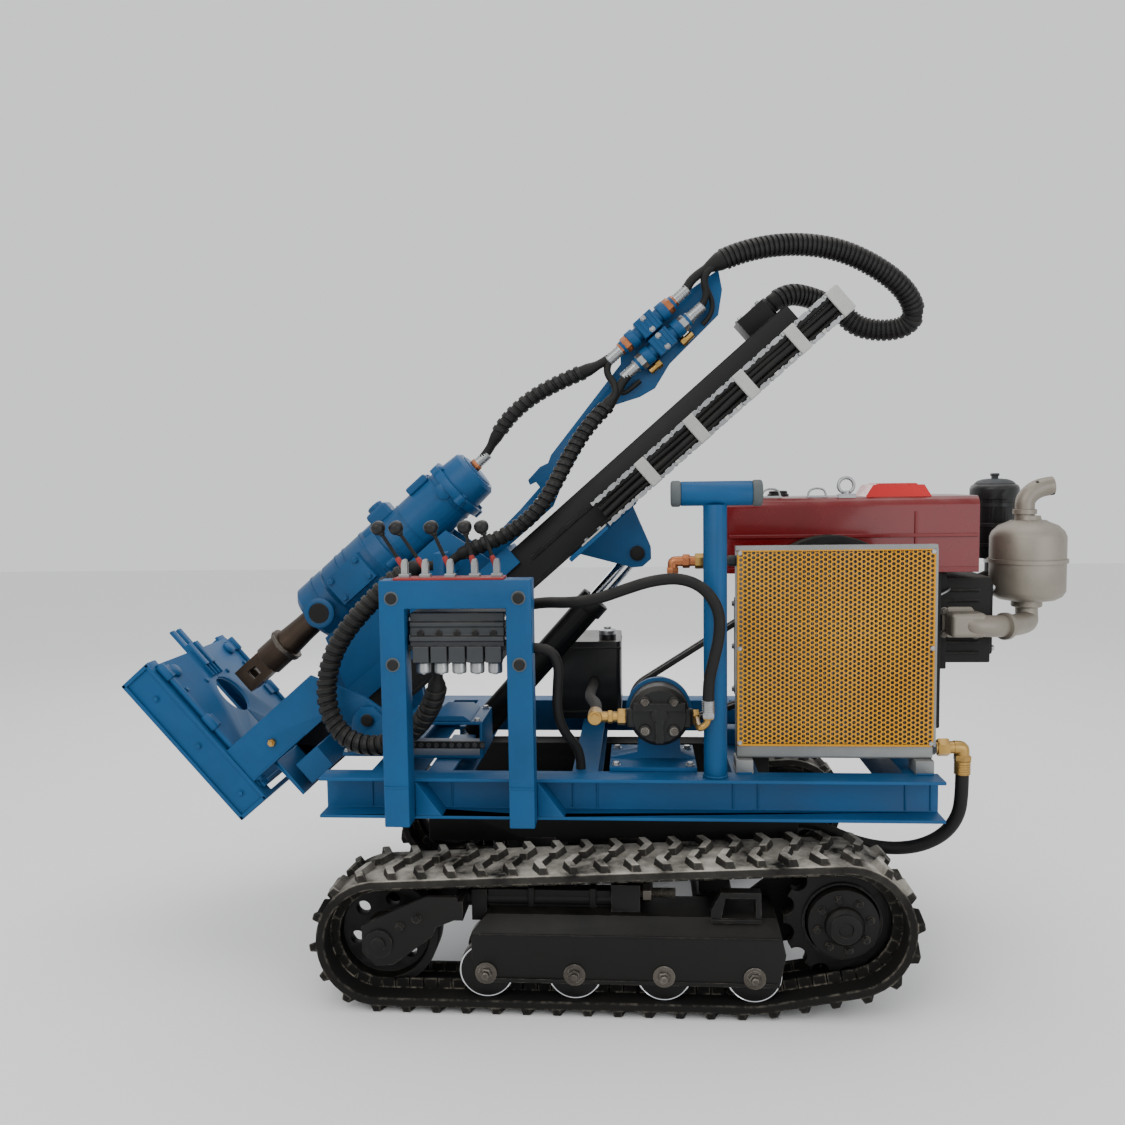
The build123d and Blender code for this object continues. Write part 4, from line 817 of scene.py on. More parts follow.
def makeTrack(side, name):
    facts = trackFacts
    pieces = [beltBody(side)]
    width = facts["outerY"] - facts["innerY"]
    for row, shift, flip in ((-0.25, 0.0, 1), (0.25, 0.5, -1)):
        y = side * (facts["outerY"] - width * (0.5 + row))
        pieces.append(copied(chevronLug(flip), beltMatrices(facts["thick"], facts["links"], shift, y)))
    guide = block(-0.016, 0.016, -0.0035, 0.0035, -0.024, 0.004, 0.0015, 1)
    turns = [turn for y in facts["guideY"] for turn in beltMatrices(0.0, facts["links"] * 2, 0.25, side * y)]
    pieces.append(copied(guide, turns))
    settle(pieces, "track_" + name + "Rubber", "trackRubber", nodes=["track_" + name])


bothSides(makeTrack)
print("tracks made")


# A weld: a thin tube of uneven thickness along each run
def bead(name, runs, radius, finish, body="root"):
    pieces = []
    for start, end in runs:
        start, end = Vector(start), Vector(end)
        count = max(2, int((end - start).length / (radius * 1.6)))
        along = (end - start).normalized()
        normal = along.orthogonal().normalized()
        frames = [(start.lerp(end, row / count), along, normal, along.cross(normal)) for row in range(count + 1)]
        tube = tubeAlong(frames, radius, 8)
        shares = [1.0 + 0.16 * (row % 2) + random.uniform(-0.06, 0.06) for row in range(count + 1)]
        pieces.append(scaleRings(tube, frames, 8, shares))
    settle(pieces, name, finish, body)


# Running gear
gearFacts = {
    "sprocket": (0.550, 0.220), "idler": (-0.553, 0.172), "rollerX": (-0.295, -0.084, 0.127, 0.338), "rollerZ": 0.105,
    "plateY": 0.545, "rimY": 0.5306, "frameLeft": -0.329, "frameRight": 0.411, "screwY": 0.450, "screwZ": 0.2695,
    "boltRing": 0.062, "hubRadius": 0.055,
}


def runningGear(side, name):
    facts = gearFacts
    front, outer, rollerZ = (0, side, 0), side * facts["plateY"], facts["rollerZ"]
    sprocketX, sprocketZ = facts["sprocket"]
    idlerX, idlerZ = facts["idler"]
    soften("sprocket_" + name, "gearBlack", 0.002)
    soften("idler_" + name, "gearBlack")
    rollers = soften("rollers_" + name, "rollerSteel", 0.0015, 2, 40)
    paint(rollers, "gearBlack", lambda c: min(hypot(c.x - x, c.z - rollerZ) for x in facts["rollerX"]) < facts["hubRadius"])
    soften("track_frame_" + name, "gearBlack", 0.002)
    nuts = [((x, outer, rollerZ), front) for x in facts["rollerX"]]
    boltRow("rollerNuts_" + name, nuts, 0.0155, 0.013, "rollerSteel")
    studs = [buttonAt(0.009, 0.019, 0.021, 0.007, *place, 20) for place in nuts]
    washers = [turnedAt([(-0.001, 0.026), (0.0025, 0.026), (0.003, 0.024)], *place) for place in nuts]
    settle(studs + washers, "rollerStuds_" + name, "rollerSteel")
    # a bright polished ring on each roller rim, a painted highlight for light falling on the rim face
    rims = [wireRing(0.0636, 0.0022, 64, 8, facing((x, side * facts["rimY"], rollerZ), front)) for x in facts["rollerX"]]
    settle(rims, "rollerRimHighlights_" + name, "polishedRod")
    bolts = ringPlaces(sprocketX, side * 0.5055, sprocketZ, facts["boltRing"], around(8, 0.2), front)
    boltRow("sprocketBolts_" + name, bolts, 0.0085, 0.008, "gearBlack")
    hub = turnedAt([(0, 0.036), (0.004, 0.036), (0.006, 0.030), (0.0065, 0.018), (0.0025, 0.016)],
                   (sprocketX, side * 0.5285, sprocketZ), front, 40)
    weldRing = turnedAt([(0, 0.094), (0.0035, 0.0935), (0.004, 0.0885), (0, 0.088)],
                        (sprocketX, side * 0.4815, sprocketZ), front, 56)
    settle([hub, weldRing], "sprocketHub_" + name, "gearBlack")
    boss = buttonAt(0.034, 0.005, 0.006, 0.030, (idlerX, side * 0.5448, idlerZ), front, 36)
    pin = buttonAt(0.017, 0.010, 0.012, 0.014, (idlerX, outer, idlerZ), front, 28)
    settle([boss, pin], "idlerBoss_" + name, "gearBlack")
    bolts = [((idlerX + 0.052, outer, 0.213), front), ((-0.46, outer, 0.236), front)]
    boltRow("idlerBolts_" + name, bolts, 0.010, 0.009, "gearBlack")
    # tensioner: threaded rod, hexagon nut, and a square bar with two collars
    y, z = side * facts["screwY"], facts["screwZ"]
    steps = [(0, 0.011)]
    for index in range(22):
        steps += [(0.004 * index + 0.002, 0.0125), (0.004 * index + 0.004, 0.0105)]
    nut = turnedAt([(0, 0.020), (0.002, 0.022), (0.020, 0.022), (0.022, 0.020)], (0.078, y, z), plusX, 6)
    settle([turnedAt(steps, (0.070, y, z), plusX, 20), nut], "tensionerScrew_" + name, "rollerSteel")
    bar = block(-0.30, 0.003, y - 0.019, y + 0.019, 0.236, 0.280, 0.003)
    collars = [block(x, x + 0.016, y - 0.0265, y + 0.0265, 0.236, 0.287, 0.003) for x in (-0.2, -0.05)]
    settle([bar] + collars, "tensionerBar_" + name, "gearBlack")
    left, right, skin = facts["frameLeft"], facts["frameRight"], outer + side * 0.0002
    runs = [((left + 0.02, skin, 0.2), (right - 0.012, skin, 0.2)),
            ((0.003, side * 0.488, 0.237), (0.072, side * 0.488, 0.237)),
            ((0.24, side * 0.531, 0.238), (0.355, side * 0.531, 0.238))]
    bead("frameWelds_" + name, runs, 0.0026, "gearBlack")
    trim = block(left + 0.03, right - 0.02, outer - side * 0.002, outer + side * 0.0025, 0.0835, 0.093, 0.001)
    settle(trim, "frameTrim_" + name, "gearBlack")


bothSides(runningGear)
soften("carbody", "gearBlack", 0.003)
print("running gear made")

# Chassis with its hinge feet, deck box and welds
chassisFacts = {"low": 0.457, "high": 0.557, "webY": 0.415, "crossX": (-0.562, -0.42, -0.06, 0.33, 0.74),
                "pivot": (-0.640, 0.650)}


def chassis():
    facts = chassisFacts
    soften("chassis_frame", "machineBlue", 0.0025)
    soften("hinge_feet", "machineBlue", 0.002)
    soften("deck_box", "machineBlue", 0.002)
    runs = []
    for side in (-1, 1):
        y = side * (facts["webY"] + 0.001)
        for x in facts["crossX"]:
            for edge in (x - 0.03, x + 0.03):
                runs.append(((edge, y, facts["low"] + 0.012), (edge, y, facts["high"] - 0.012)))
    for x0, x1, y, z in ((-0.529, -0.471, -0.5455, 0.553), (-0.231, -0.173, -0.5455, 0.553), (0.31, 0.345, -0.421, 0.5585),
                         (0.735, 0.775, -0.421, 0.5585)):
        runs.append(((x0, y, z), (x1, y, z)))
    bead("chassisWelds", runs, 0.0022, "machineBlue")
    bolts = [((x, side * y, 0.569), plusZ) for side in (-1, 1) for x in (-0.692, -0.596) for y in (0.214, 0.276)]
    boltRow("feetBolts", bolts)
    x, z = facts["pivot"]
    cap = [(0, 0.0165), (0.004, 0.0165), (0.006, 0.014), (0.0065, 0.008)]
    settle([turnedAt(cap, (x, side * 0.271, z), (0, side, 0)) for side in (-1, 1)], "pivotCaps", "engineIron")
    # a low lid on the deck box, and a bar with a row of ringed holes on its near face
    lid = plate([(-0.47, 0.6535), (-0.36, 0.6535), (-0.38, 0.6675), (-0.45, 0.6675)], -0.296, -0.124, 0.002)
    settle(lid, "deckLid", "machineBlue")
    bar = block(-0.545, -0.325, -0.3085, -0.3005, 0.585, 0.603, 0.001)
    settle(bar, "deckBar", "blackAndMastShade")
    ring = [(0, 0.0065), (0.0015, 0.0065), (0.0018, 0.0035), (0.0002, 0.0030)]
    rings = [turnedAt(ring, (-0.53 + 0.02 * index, -0.3085, 0.594), minusY, 16) for index in range(11)]
    settle(rings, "deckBarRings", "castGrey")
    bolts = [((x, y, 0.653), plusZ) for x in (-0.525, -0.345) for y in (-0.285, -0.135)]
    boltRow("deckBolts", bolts, 0.008, 0.007)


# Stand: painted portal, round plugs with a pale ring, and the valves with their levers
standFacts = {
    "posts": (-0.500, -0.202), "plugZ": (0.847, 1.003), "frontY": -0.545, "bankLeft": -0.4585, "pitch": 0.043, "valves": 5,
    "bankLow": 0.845, "bankHigh": 0.965, "capY": -0.4985, "portY": -0.452, "top": 1.045, "leverY": -0.508, "knobZ": 1.165,
    "leverBases": (-0.474, -0.425, -0.366, -0.308, -0.256), "knobs": (-0.535, -0.492, -0.409, -0.330, -0.290),
}


def standDetails():
    facts = standFacts
    soften("valve_stand", "machineBlue", 0.003)
    plugs, rings = [], []
    ring = [(0, 0.0165), (0.0015, 0.0165), (0.002, 0.0155), (0.0021, 0.0128)]
    plug = [(0.001, 0.0130), (0.0062, 0.0128), (0.0080, 0.0110), (0.0085, 0.0060)]
    for x in facts["posts"]:
        for z in facts["plugZ"]:
            rings.append(turnedAt(ring, (x, facts["frontY"], z), minusY, 36))
            plugs.append(turnedAt(plug, (x, facts["frontY"], z), minusY, 36))
    settle(rings, "plugRings", "dustyGreyRubber")
    settle(plugs, "standPlugs", "blackPlastic")


def valveBank():
    facts = standFacts
    low, high, pitch, left, capY = (facts[key] for key in ("bankLow", "bankHigh", "pitch", "bankLeft", "capY"))
    right = left + facts["valves"] * pitch
    middle = low + 0.041
    lower = ((-0.430, 0), (-0.524, 0), (-0.524, 0.012), (-0.533, 0.015), (-0.533, 0.024), (-0.522, 0.028))
    ledges = ((-0.522, -0.034), (-0.527, -0.030), (-0.527, -0.022), (-0.518, -0.018), (-0.518, 0), (-0.430, 0))
    outline = [(y, middle + z) for y, z in lower] + [(y, high + z) for y, z in ledges]
    upper = plate(outline, -(right - left) / 2 - 0.004, (right - left) / 2 + 0.004, 0.0018)
    upper.data.transform(Matrix.Translation(((left + right) / 2, 0, 0)) @ Matrix.Rotation(radians(90), 4, "Z"))
    pieces = [block(-0.470, -0.232, -0.512, -0.434, 0.875, 0.889, 0.0015), upper]
    caps, plates, ports = [], [], []
    cap = [(0, 0.0165), (0.002, 0.0172), (0.022, 0.0172), (0.025, 0.0150), (0.0255, 0.0060), (0.0285, 0.0055)]
    for index in range(facts["valves"]):
        x = left + pitch * (index + 0.5)
        pieces.append(block(x - 0.0195, x + 0.0195, -0.533, -0.430, low + 0.004, middle + 0.002, 0.003, 3))
        pieces.append(buttonAt(0.0185, 0.004, 0.006, 0.0165, (x, capY, low + 0.005), minusZ))
        pieces.append(block(x - 0.0014, x + 0.0014, -0.5235, -0.516, middle + 0.028, high - 0.036, 0.0006, 1))
        caps.append(turnedAt(cap, (x, capY, low), minusZ))
        plates.append(buttonAt(0.0085, 0.004, 0.005, 0.007, (x, -0.5225, high - 0.048), minusY, 6))
        ports.append(buttonAt(0.0115, 0.010, 0.0115, 0.0100, (x, facts["portY"], low + 0.004), minusZ, 6))
        ports.append(rodAt(0.008, 0.030, (x, facts["portY"], low - 0.004), minusZ))
    settle(pieces, "valveSections", "castGrey", nodes=["valve_bank"])
    settle(caps, "springCaps", "zincSteel")
    settle(plates, "valvePlugs", "engineIron")
    settle(ports, "valvePorts", "zincSteel")
    ends = []
    for x, direction in ((left - 0.004, -1), (right + 0.004, 1)):
        ends += [((x - 0.001 * direction, y, z), (direction, 0, 0)) for y in (-0.506, -0.446) for z in (0.905, 0.950)]
    boltRow("tieRodNuts", ends, 0.0075, 0.006)


def leverSet():
    facts = standFacts
    y, top = facts["leverY"], facts["top"]
    sheet = block(-0.496, -0.236, -0.5435, -0.482, top, top + 0.005, 0.0012)
    settle(sheet, "leverPlate", "leverRed", nodes=["valve_levers"])
    clevises, sticks, lows, knobs, pins = [], [], [], [], []
    outline = [(-0.009, 0), (0.009, 0), (0.0075, 0.012), (0.0075, 0.032), (0.005, 0.041), (0.0, 0.0435), (-0.005, 0.041),
               (-0.0075, 0.032), (-0.0075, 0.012)]
    pin = [(0, 0.0048), (0.003, 0.0048), (0.0032, 0.0032), (0.019, 0.0032), (0.0192, 0.0046), (0.022, 0.0046)]
    knob = [(-0.019, 0.0062), (-0.017, 0.0078), (-0.013, 0.0078), (-0.0135, 0.0090), (-0.010, 0.0134), (-0.004, 0.0168),
            (0.003, 0.0178), (0.010, 0.0160), (0.0145, 0.0112), (0.0165, 0.0060), (0.0169, 0.0015)]
    for baseX, knobX in zip(facts["leverBases"], facts["knobs"]):
        for offset in (-0.0085, 0.0055):
            cheek = plate(outline, y + offset, y + offset + 0.003, 0.0006)
            cheek.data.transform(Matrix.Translation((baseX, 0, top + 0.004)))
            clevises.append(cheek)
        clevises.append(block(baseX - 0.0125, baseX + 0.0125, y - 0.013, y + 0.013, top + 0.004, top + 0.012, 0.0012))
        pins.append(turnedAt(pin, (baseX, y - 0.0115, top + 0.034), plusY, 16))
        foot = Vector((baseX, y, top + 0.022))
        tip = Vector((knobX, y, facts["knobZ"]))
        along = (tip - foot).normalized()
        reach = (tip - foot).length
        lows.append(turnedAt([(0, 0.0062), (0.002, 0.0066), (0.030, 0.0066), (0.034, 0.0048)], foot, along, 18))
        sticks.append(turnedAt([(0.030, 0.0045), (reach - 0.012, 0.0042)], foot, along, 18))
        knobs.append(turnedAt([(reach + z, radius) for z, radius in knob], foot, along, 28))
    settle(clevises, "leverClevises", "zincSteel")
    settle(pins, "leverPins", "zincSteel")
    settle(sticks, "leverSticks", "engineIron")
    settle(lows, "leverEyes", "leverRed")
    settle(smoothByAngle(joined(knobs), 60), "leverKnobs", "blackPlastic")


chassis()
standDetails()
valveBank()
leverSet()
print("chassis and stand made")

# Engine with its hood, flywheel, air filter and exhaust
engineFacts = {
    "left": 0.360, "right": 0.870, "half": 0.135, "headEnd": 1.010, "headHalf": 0.095, "crank": (0.571, 0.911),
    "muffler": (1.136, 0.0), "filter": (1.109, 0.190), "hoodLeft": 0.309, "hoodRight": 0.959, "hoodHalf": 0.150,
    "hoodLow": 1.019, "hoodTop": 1.218,
}


def engineBody():
    facts = engineFacts
    engine = soften("engine_block", "engineIron", 0.004)
    paint(engine, "machineBlue", lambda c: c.z < 0.602 and abs(c.y) < 0.152 and (c.x < 0.37 or c.z < 0.598))
    left, right, half, end, headHalf = (facts[key] for key in ("left", "right", "half", "headEnd", "headHalf"))
    covers, bolts = [], []
    for side in (-1, 1):
        y = side * half
        for x0, x1, z0, z1 in ((left + 0.03, left + 0.17, 0.66, 0.80), (left + 0.21, left + 0.44, 0.64, 0.76)):
            covers.append(block(x0, x1, y - side * 0.002, y + side * 0.009, z0, z1, 0.005, 3))
            for x in (x0 + 0.014, x1 - 0.014):
                for z in (z0 + 0.014, z1 - 0.014):
                    bolts.append(((x, y + side * 0.009, z), (0, side, 0)))
        for x in (left + 0.09, left + 0.25, left + 0.41):
            covers.append(block(x, x + 0.018, y - side * 0.002, y + side * 0.012, 0.65, 0.86, 0.004, 2))
        for index in range(7):
            z = 0.795 + 0.028 * index
            covers.append(block(right + 0.02, end - 0.03, side * (headHalf - 0.002), side * (headHalf + 0.007), z,
                                z + 0.006, 0.0015, 1))
    covers.append(block(end - 0.004, end + 0.010, -headHalf + 0.012, headHalf - 0.012, 0.79, 0.985, 0.006, 3))
    covers.append(block(right - 0.006, right + 0.022, -headHalf - 0.012, headHalf + 0.012, 0.755, 1.012, 0.003))
    covers.append(block(left - 0.010, left + 0.004, -0.11, 0.11, 0.64, 0.93, 0.008, 3))
    for y in (-headHalf + 0.026, 0, headHalf - 0.026):
        for z in (0.806, 0.969):
            bolts.append(((end + 0.010, y, z), plusX))
    for y in (-0.095, 0.095):
        for z in (0.66, 0.785, 0.91):
            bolts.append(((left - 0.010, y, z), minusX))
    settle(covers, "engineCovers", "engineIron")
    boltRow("engineBolts", bolts, 0.008, 0.007)
    fan = turnedAt([(0, 0.060), (0.010, 0.060), (0.012, 0.054), (0.016, 0.054), (0.018, 0.030), (0.024, 0.028)],
                   (0.44, half + 0.002, 0.86), plusY, 40)
    settle(fan, "starterCup", "castGrey")
    line = pipe([(0.50, -0.137, 0.80), (0.50, -0.150, 0.80), (0.55, -0.150, 0.83), (0.66, -0.150, 0.85),
                 (0.80, -0.150, 0.93), (0.90, -0.120, 0.97), (0.90, -0.094, 0.97)], 0.0035, 10)
    settle(line, "fuelLine", "zincSteel")


def engineHood():
    facts = engineFacts
    left, right, half, low, top = (facts[key] for key in ("hoodLeft", "hoodRight", "hoodHalf", "hoodLow", "hoodTop"))
    hood = soften("engine_hood", "hoodRed", 0.004, 3)
    paint(hood, "capRed", lambda centre: centre.z > top + 0.0008)
    lips = []
    for side in (-1, 1):
        y = side * half
        lips.append(block(left + 0.004, right - 0.004, y - side * 0.002, y + side * 0.005, low + 0.092, low + 0.102, 0.002))
        lips.append(block(left + 0.002, right - 0.002, y - side * 0.002, y + side * 0.004, low, low + 0.014, 0.0015))
        lips.append(block(right - 0.165, right - 0.158, y - side * 0.002, y + side * 0.003, low + 0.014, low + 0.16, 0.001))
    lips.append(block(right - 0.002, right + 0.005, -half + 0.02, half - 0.02, low + 0.005, low + 0.018, 0.002))
    ridge = [(0.700, top + 0.0285), (0.814, top + 0.0285), (0.808, top + 0.034), (0.706, top + 0.034)]
    lips.append(plate(ridge, -0.11, -0.01, 0.002))
    paint(settle(lips, "hoodLips", "hoodRed"), "capRed", lambda centre: centre.z > top + 0.02)
    slot = block(left - 0.0015, left + 0.001, -0.10, -0.088, low + 0.04, low + 0.15, 0.0006, 1)
    slots = shifted(slot, [(0, 0.025 * index, 0) for index in range(9)])
    settle(slots, "hoodSlots", "engineIron")
    # lifting ring on its mount, and spring clips
    place = Matrix.Translation((0.623, -0.12, 1.248)) @ Matrix.Rotation(radians(90), 4, "X")
    ring = smoothByAngle(wireRing(0.020, 0.0045, 40, 14, place), 60)
    mount = block(0.600, 0.646, -0.134, -0.106, 1.212, 1.226, 0.002)
    post = buttonAt(0.011, 0.010, 0.012, 0.008, (0.623, -0.12, 1.222), plusZ, 24)
    settle([ring, mount, post], "liftRing", "zincSteel")
    clips = []
    for x in (0.40, 0.52):
        clips.append(block(x, x + 0.055, -0.128, -0.118, 1.2165, 1.2225, 0.0012))
        arch = ((0.004, 1.222), (0.004, 1.236), (0.028, 1.243), (0.050, 1.236), (0.050, 1.222))
        clips.append(pipe([(x + dx, -0.123, z) for dx, z in arch], 0.0028, 10))
    settle(clips, "hoodClips", "zincSteel")
    filler = turnedAt([(0, 0.030), (0.010, 0.030), (0.012, 0.026), (0.018, 0.026), (0.020, 0.022)],
                      (0.47, 0.06, 1.214), plusZ, 36)
    settle(filler, "fillerCap", "blackPlastic")


def flywheel():
    crankX, crankZ = engineFacts["crank"]
    soften("flywheel", "engineIron", 0.003)
    arms = []
    place = Matrix.Translation((crankX, -0.1925, crankZ)) @ Matrix.Rotation(radians(90), 4, "X")
    for turn in around(6):
        arm = block(0.045, 0.172, -0.013, 0.013, -0.007, 0.004, 0.003)
        arm.data.transform(place @ Matrix.Rotation(turn, 4, "Z"))
        arms.append(arm)
    settle(arms, "flywheelArms", "engineIron")
    bolts = ringPlaces(crankX, -0.2702, crankZ, 0.075, (0.3, 1.35, 2.4, 3.44, 4.5, 5.53), minusY)
    boltRow("pulleyBolts", bolts, 0.008, 0.007)
    soften("drive_belts", "hoseBlack")
    soften("pump_pulley", "castGrey")


def airFilter():
    x, y = engineFacts["filter"]
    soften("air_filter", "canisterBlack", 0.0012, 2, 40)
    bands = [turnedAt([(0, 0.0625), (0.001, 0.0645), (0.011, 0.0645), (0.012, 0.0625)], (x, y, z), plusZ, 56)
             for z in (1.062, 1.120, 1.178)]
    settle(bands, "filterBands", "canisterBlack")
    dome = turnedAt([(0, 0.056), (0.003, 0.056), (0.010, 0.048), (0.015, 0.034), (0.017, 0.014)], (x, y, 1.2425), plusZ, 48)
    knob = turnedAt([(0, 0.010), (0.008, 0.010), (0.010, 0.013), (0.015, 0.013), (0.017, 0.010)], (x, y, 1.258), plusZ, 6)
    settle([dome, knob], "filterDome", "castGrey")
    clamp = rodAt(0.0265, 0.010, (x, y, 1.016), plusZ, 40)
    settle(clamp, "filterClamp", "zincSteel")


# The muffler is a welded drum: domed ends, a middle seam, bands, and pipes of one radius in and out
def muffler():
    x, y = engineFacts["muffler"]
    low, high, radius, startX, tailX = 0.926, 1.146, 0.098, 0.925, x - 0.010
    middle = (low + high) / 2
    profile = [(low, 0.050), (low + 0.004, 0.074), (low + 0.014, 0.090), (low + 0.028, radius), (middle - 0.006, radius),
               (middle - 0.005, radius + 0.005), (middle + 0.005, radius + 0.005), (middle + 0.006, radius),
               (high - 0.045, radius), (high - 0.030, radius - 0.006), (high - 0.014, radius - 0.022),
               (high - 0.004, radius - 0.046), (high, 0.046), (high + 0.001, 0.034), (high + 0.012, 0.031)]
    drum = turnedAt([(z - low, r) for z, r in profile], (x, y, low), plusZ, 72)
    drum = smoothByAngle(drum, 50)
    neck = turnedAt([(0, 0.036), (0.003, 0.040), (0.020, 0.040), (0.023, 0.036)], (x, y, low - 0.018), plusZ, 40)
    bandUp = turnedAt([(0, 0.0285), (0.001, 0.031), (0.013, 0.031), (0.014, 0.0285)], (tailX, 0, high + 0.016), plusZ, 40)
    inlet = pipe([(startX, -0.106, 0.880), (startX, -0.150, 0.880), (0.980, -0.150, 0.876), (1.040, -0.122, 0.872),
                  (1.096, -0.060, 0.868), (x, -0.010, 0.868), (x, 0, 0.890), (x, 0, low + 0.004)], 0.029, 32)
    collar = turnedAt([(0, 0.031), (0.002, 0.036), (0.014, 0.036), (0.016, 0.031)], (1.030, -0.128, 0.8725),
                      (0.80, 0.46, -0.03), 40)
    outline = ((-0.046, 0.862), (-0.030, 0.840), (0.030, 0.840), (0.046, 0.862), (0.046, 0.900), (0.030, 0.922),
               (-0.030, 0.922), (-0.046, 0.900))
    flange = plate([(startX + dx, z) for dx, z in outline], -0.110, -0.094, 0.002)
    body = block(startX - 0.040, startX + 0.052, -0.172, -0.108, 0.848, 0.912, 0.012, 4)
    bend = ((-0.010, -0.004), (-0.010, 0.028), (-0.010, 0.056), (0.010, 0.078), (0.036, 0.090), (0.062, 0.0925))
    tail = pipe([(x + dx, 0, high + dz) for dx, dz in bend], 0.0255, 32)
    # the open end of the tail pipe
    pick(tail)
    faces = tail.data.polygons
    endIndex = max(range(len(faces)), key=lambda index: faces[index].center.x if faces[index].loop_total > 8 else -9)
    bpy.ops.object.mode_set(mode="EDIT")
    bpy.ops.mesh.select_all(action="DESELECT")
    bpy.ops.object.mode_set(mode="OBJECT")
    tail.data.polygons[endIndex].select = True
    bpy.ops.object.mode_set(mode="EDIT")
    bpy.ops.mesh.inset(thickness=0.0022)
    bpy.ops.mesh.extrude_region_move(TRANSFORM_OT_translate={"value": (-0.035, 0, -0.006)})
    bpy.ops.object.mode_set(mode="OBJECT")
    pieces = [drum, neck, bandUp, inlet, collar, flange, body, tail]
    drumSet = settle(pieces, "mufflerDrum", "mufflerSilver", nodes=["muffler"])
    paint(drumSet, "engineIron", lambda c: c.x > x + 0.015 and c.z > high + 0.05 and hypot(c.y, c.z - high - 0.088) < 0.0225)
    bolts = [((startX + dx, -0.110, 0.881 + dz), minusY) for dx, dz in ((-0.041, -0.030), (-0.041, 0.030), (0.041, -0.034))]
    boltRow("flangeNuts", bolts, 0.009, 0.009, "rollerSteel")
    points = [(x + 0.0985, -0.004, low + 0.03), (x + 0.0990, -0.004, middle), (x + 0.0985, -0.004, high - 0.045)]
    seam = pipe(points, 0.002, 8)
    settle(seam, "mufflerSeam", "mufflerSilver")


engineBody()
engineHood()
flywheel()
airFilter()
muffler()
print("engine made")

# Oil cooler: fins between tubes, tanks at its sides, feet, and the pierced guard in front
coolerFacts = {"left": 0.311, "right": 0.777, "high": 1.100, "front": -0.400, "back": -0.352, "guardLow": 0.622,
               "pitch": 0.0116, "hole": 0.0045, "columns": 46, "rows": 41, "sheet": 0.0018}


def coolerCore():
    facts = coolerFacts
    soften("oil_cooler", "coolerAlloy", 0.0025)
    left, right, front, back = facts["left"], facts["right"], facts["front"], facts["back"]
    fin = block(-0.0006, 0.0006, front - 0.0035, front + 0.002, 0.626, 1.096, 0)
    core = [shifted(fin, [(left + 0.016 + (right - left - 0.032) * index / 89, 0, 0) for index in range(90)])]
    tube = block(left + 0.012, right - 0.012, front - 0.0045, front + 0.002, -0.0022, 0.0022, 0.0008, 1)
    core.append(shifted(tube, [(0, 0, 0.64 + 0.0242 * index) for index in range(19)]))
    fin = block(-0.0008, 0.0008, back - 0.0145, back - 0.004, 0.645, 1.055, 0)
    core.append(shifted(fin, [(left + 0.034 + (right - left - 0.068) * index / 69, 0, 0) for index in range(70)]))
    tube = block(left + 0.03, right - 0.03, back - 0.0145, back - 0.002, -0.0028, 0.0028, 0.001, 1)
    core.append(shifted(tube, [(0, 0, 0.66 + 0.0284 * index) for index in range(14)]))
    settle(core, "coolerCore", "finDark")
    tanks, bolts = [], []
    for z in (0.600, 1.092):
        tanks.append(pipe([(left + 0.01, back + 0.002, z), ((left + right) / 2, back + 0.002, z),
                           (right - 0.01, back + 0.002, z)], 0.009, 16, 0.05))
    for x in (left + 0.012, right - 0.012):
        tanks.append(block(x - 0.012, x + 0.012, back - 0.002, back + 0.006, 0.60, 1.09, 0.002))
    settle(tanks, "coolerTanks", "coolerAlloy")
    for x in (left + 0.016, right - 0.022):
        for y in (-0.412, -0.360):
            bolts.append(((x, y, 0.566), plusZ))
    pads = [block(x - 0.022, x + 0.022, -0.419, -0.354, 0.5575, 0.566, 0.0015) for x in (left + 0.0165, right - 0.0225)]
    settle(pads, "coolerFeet", "coolerAlloy")
    boltRow("coolerBolts", bolts, 0.008, 0.007)


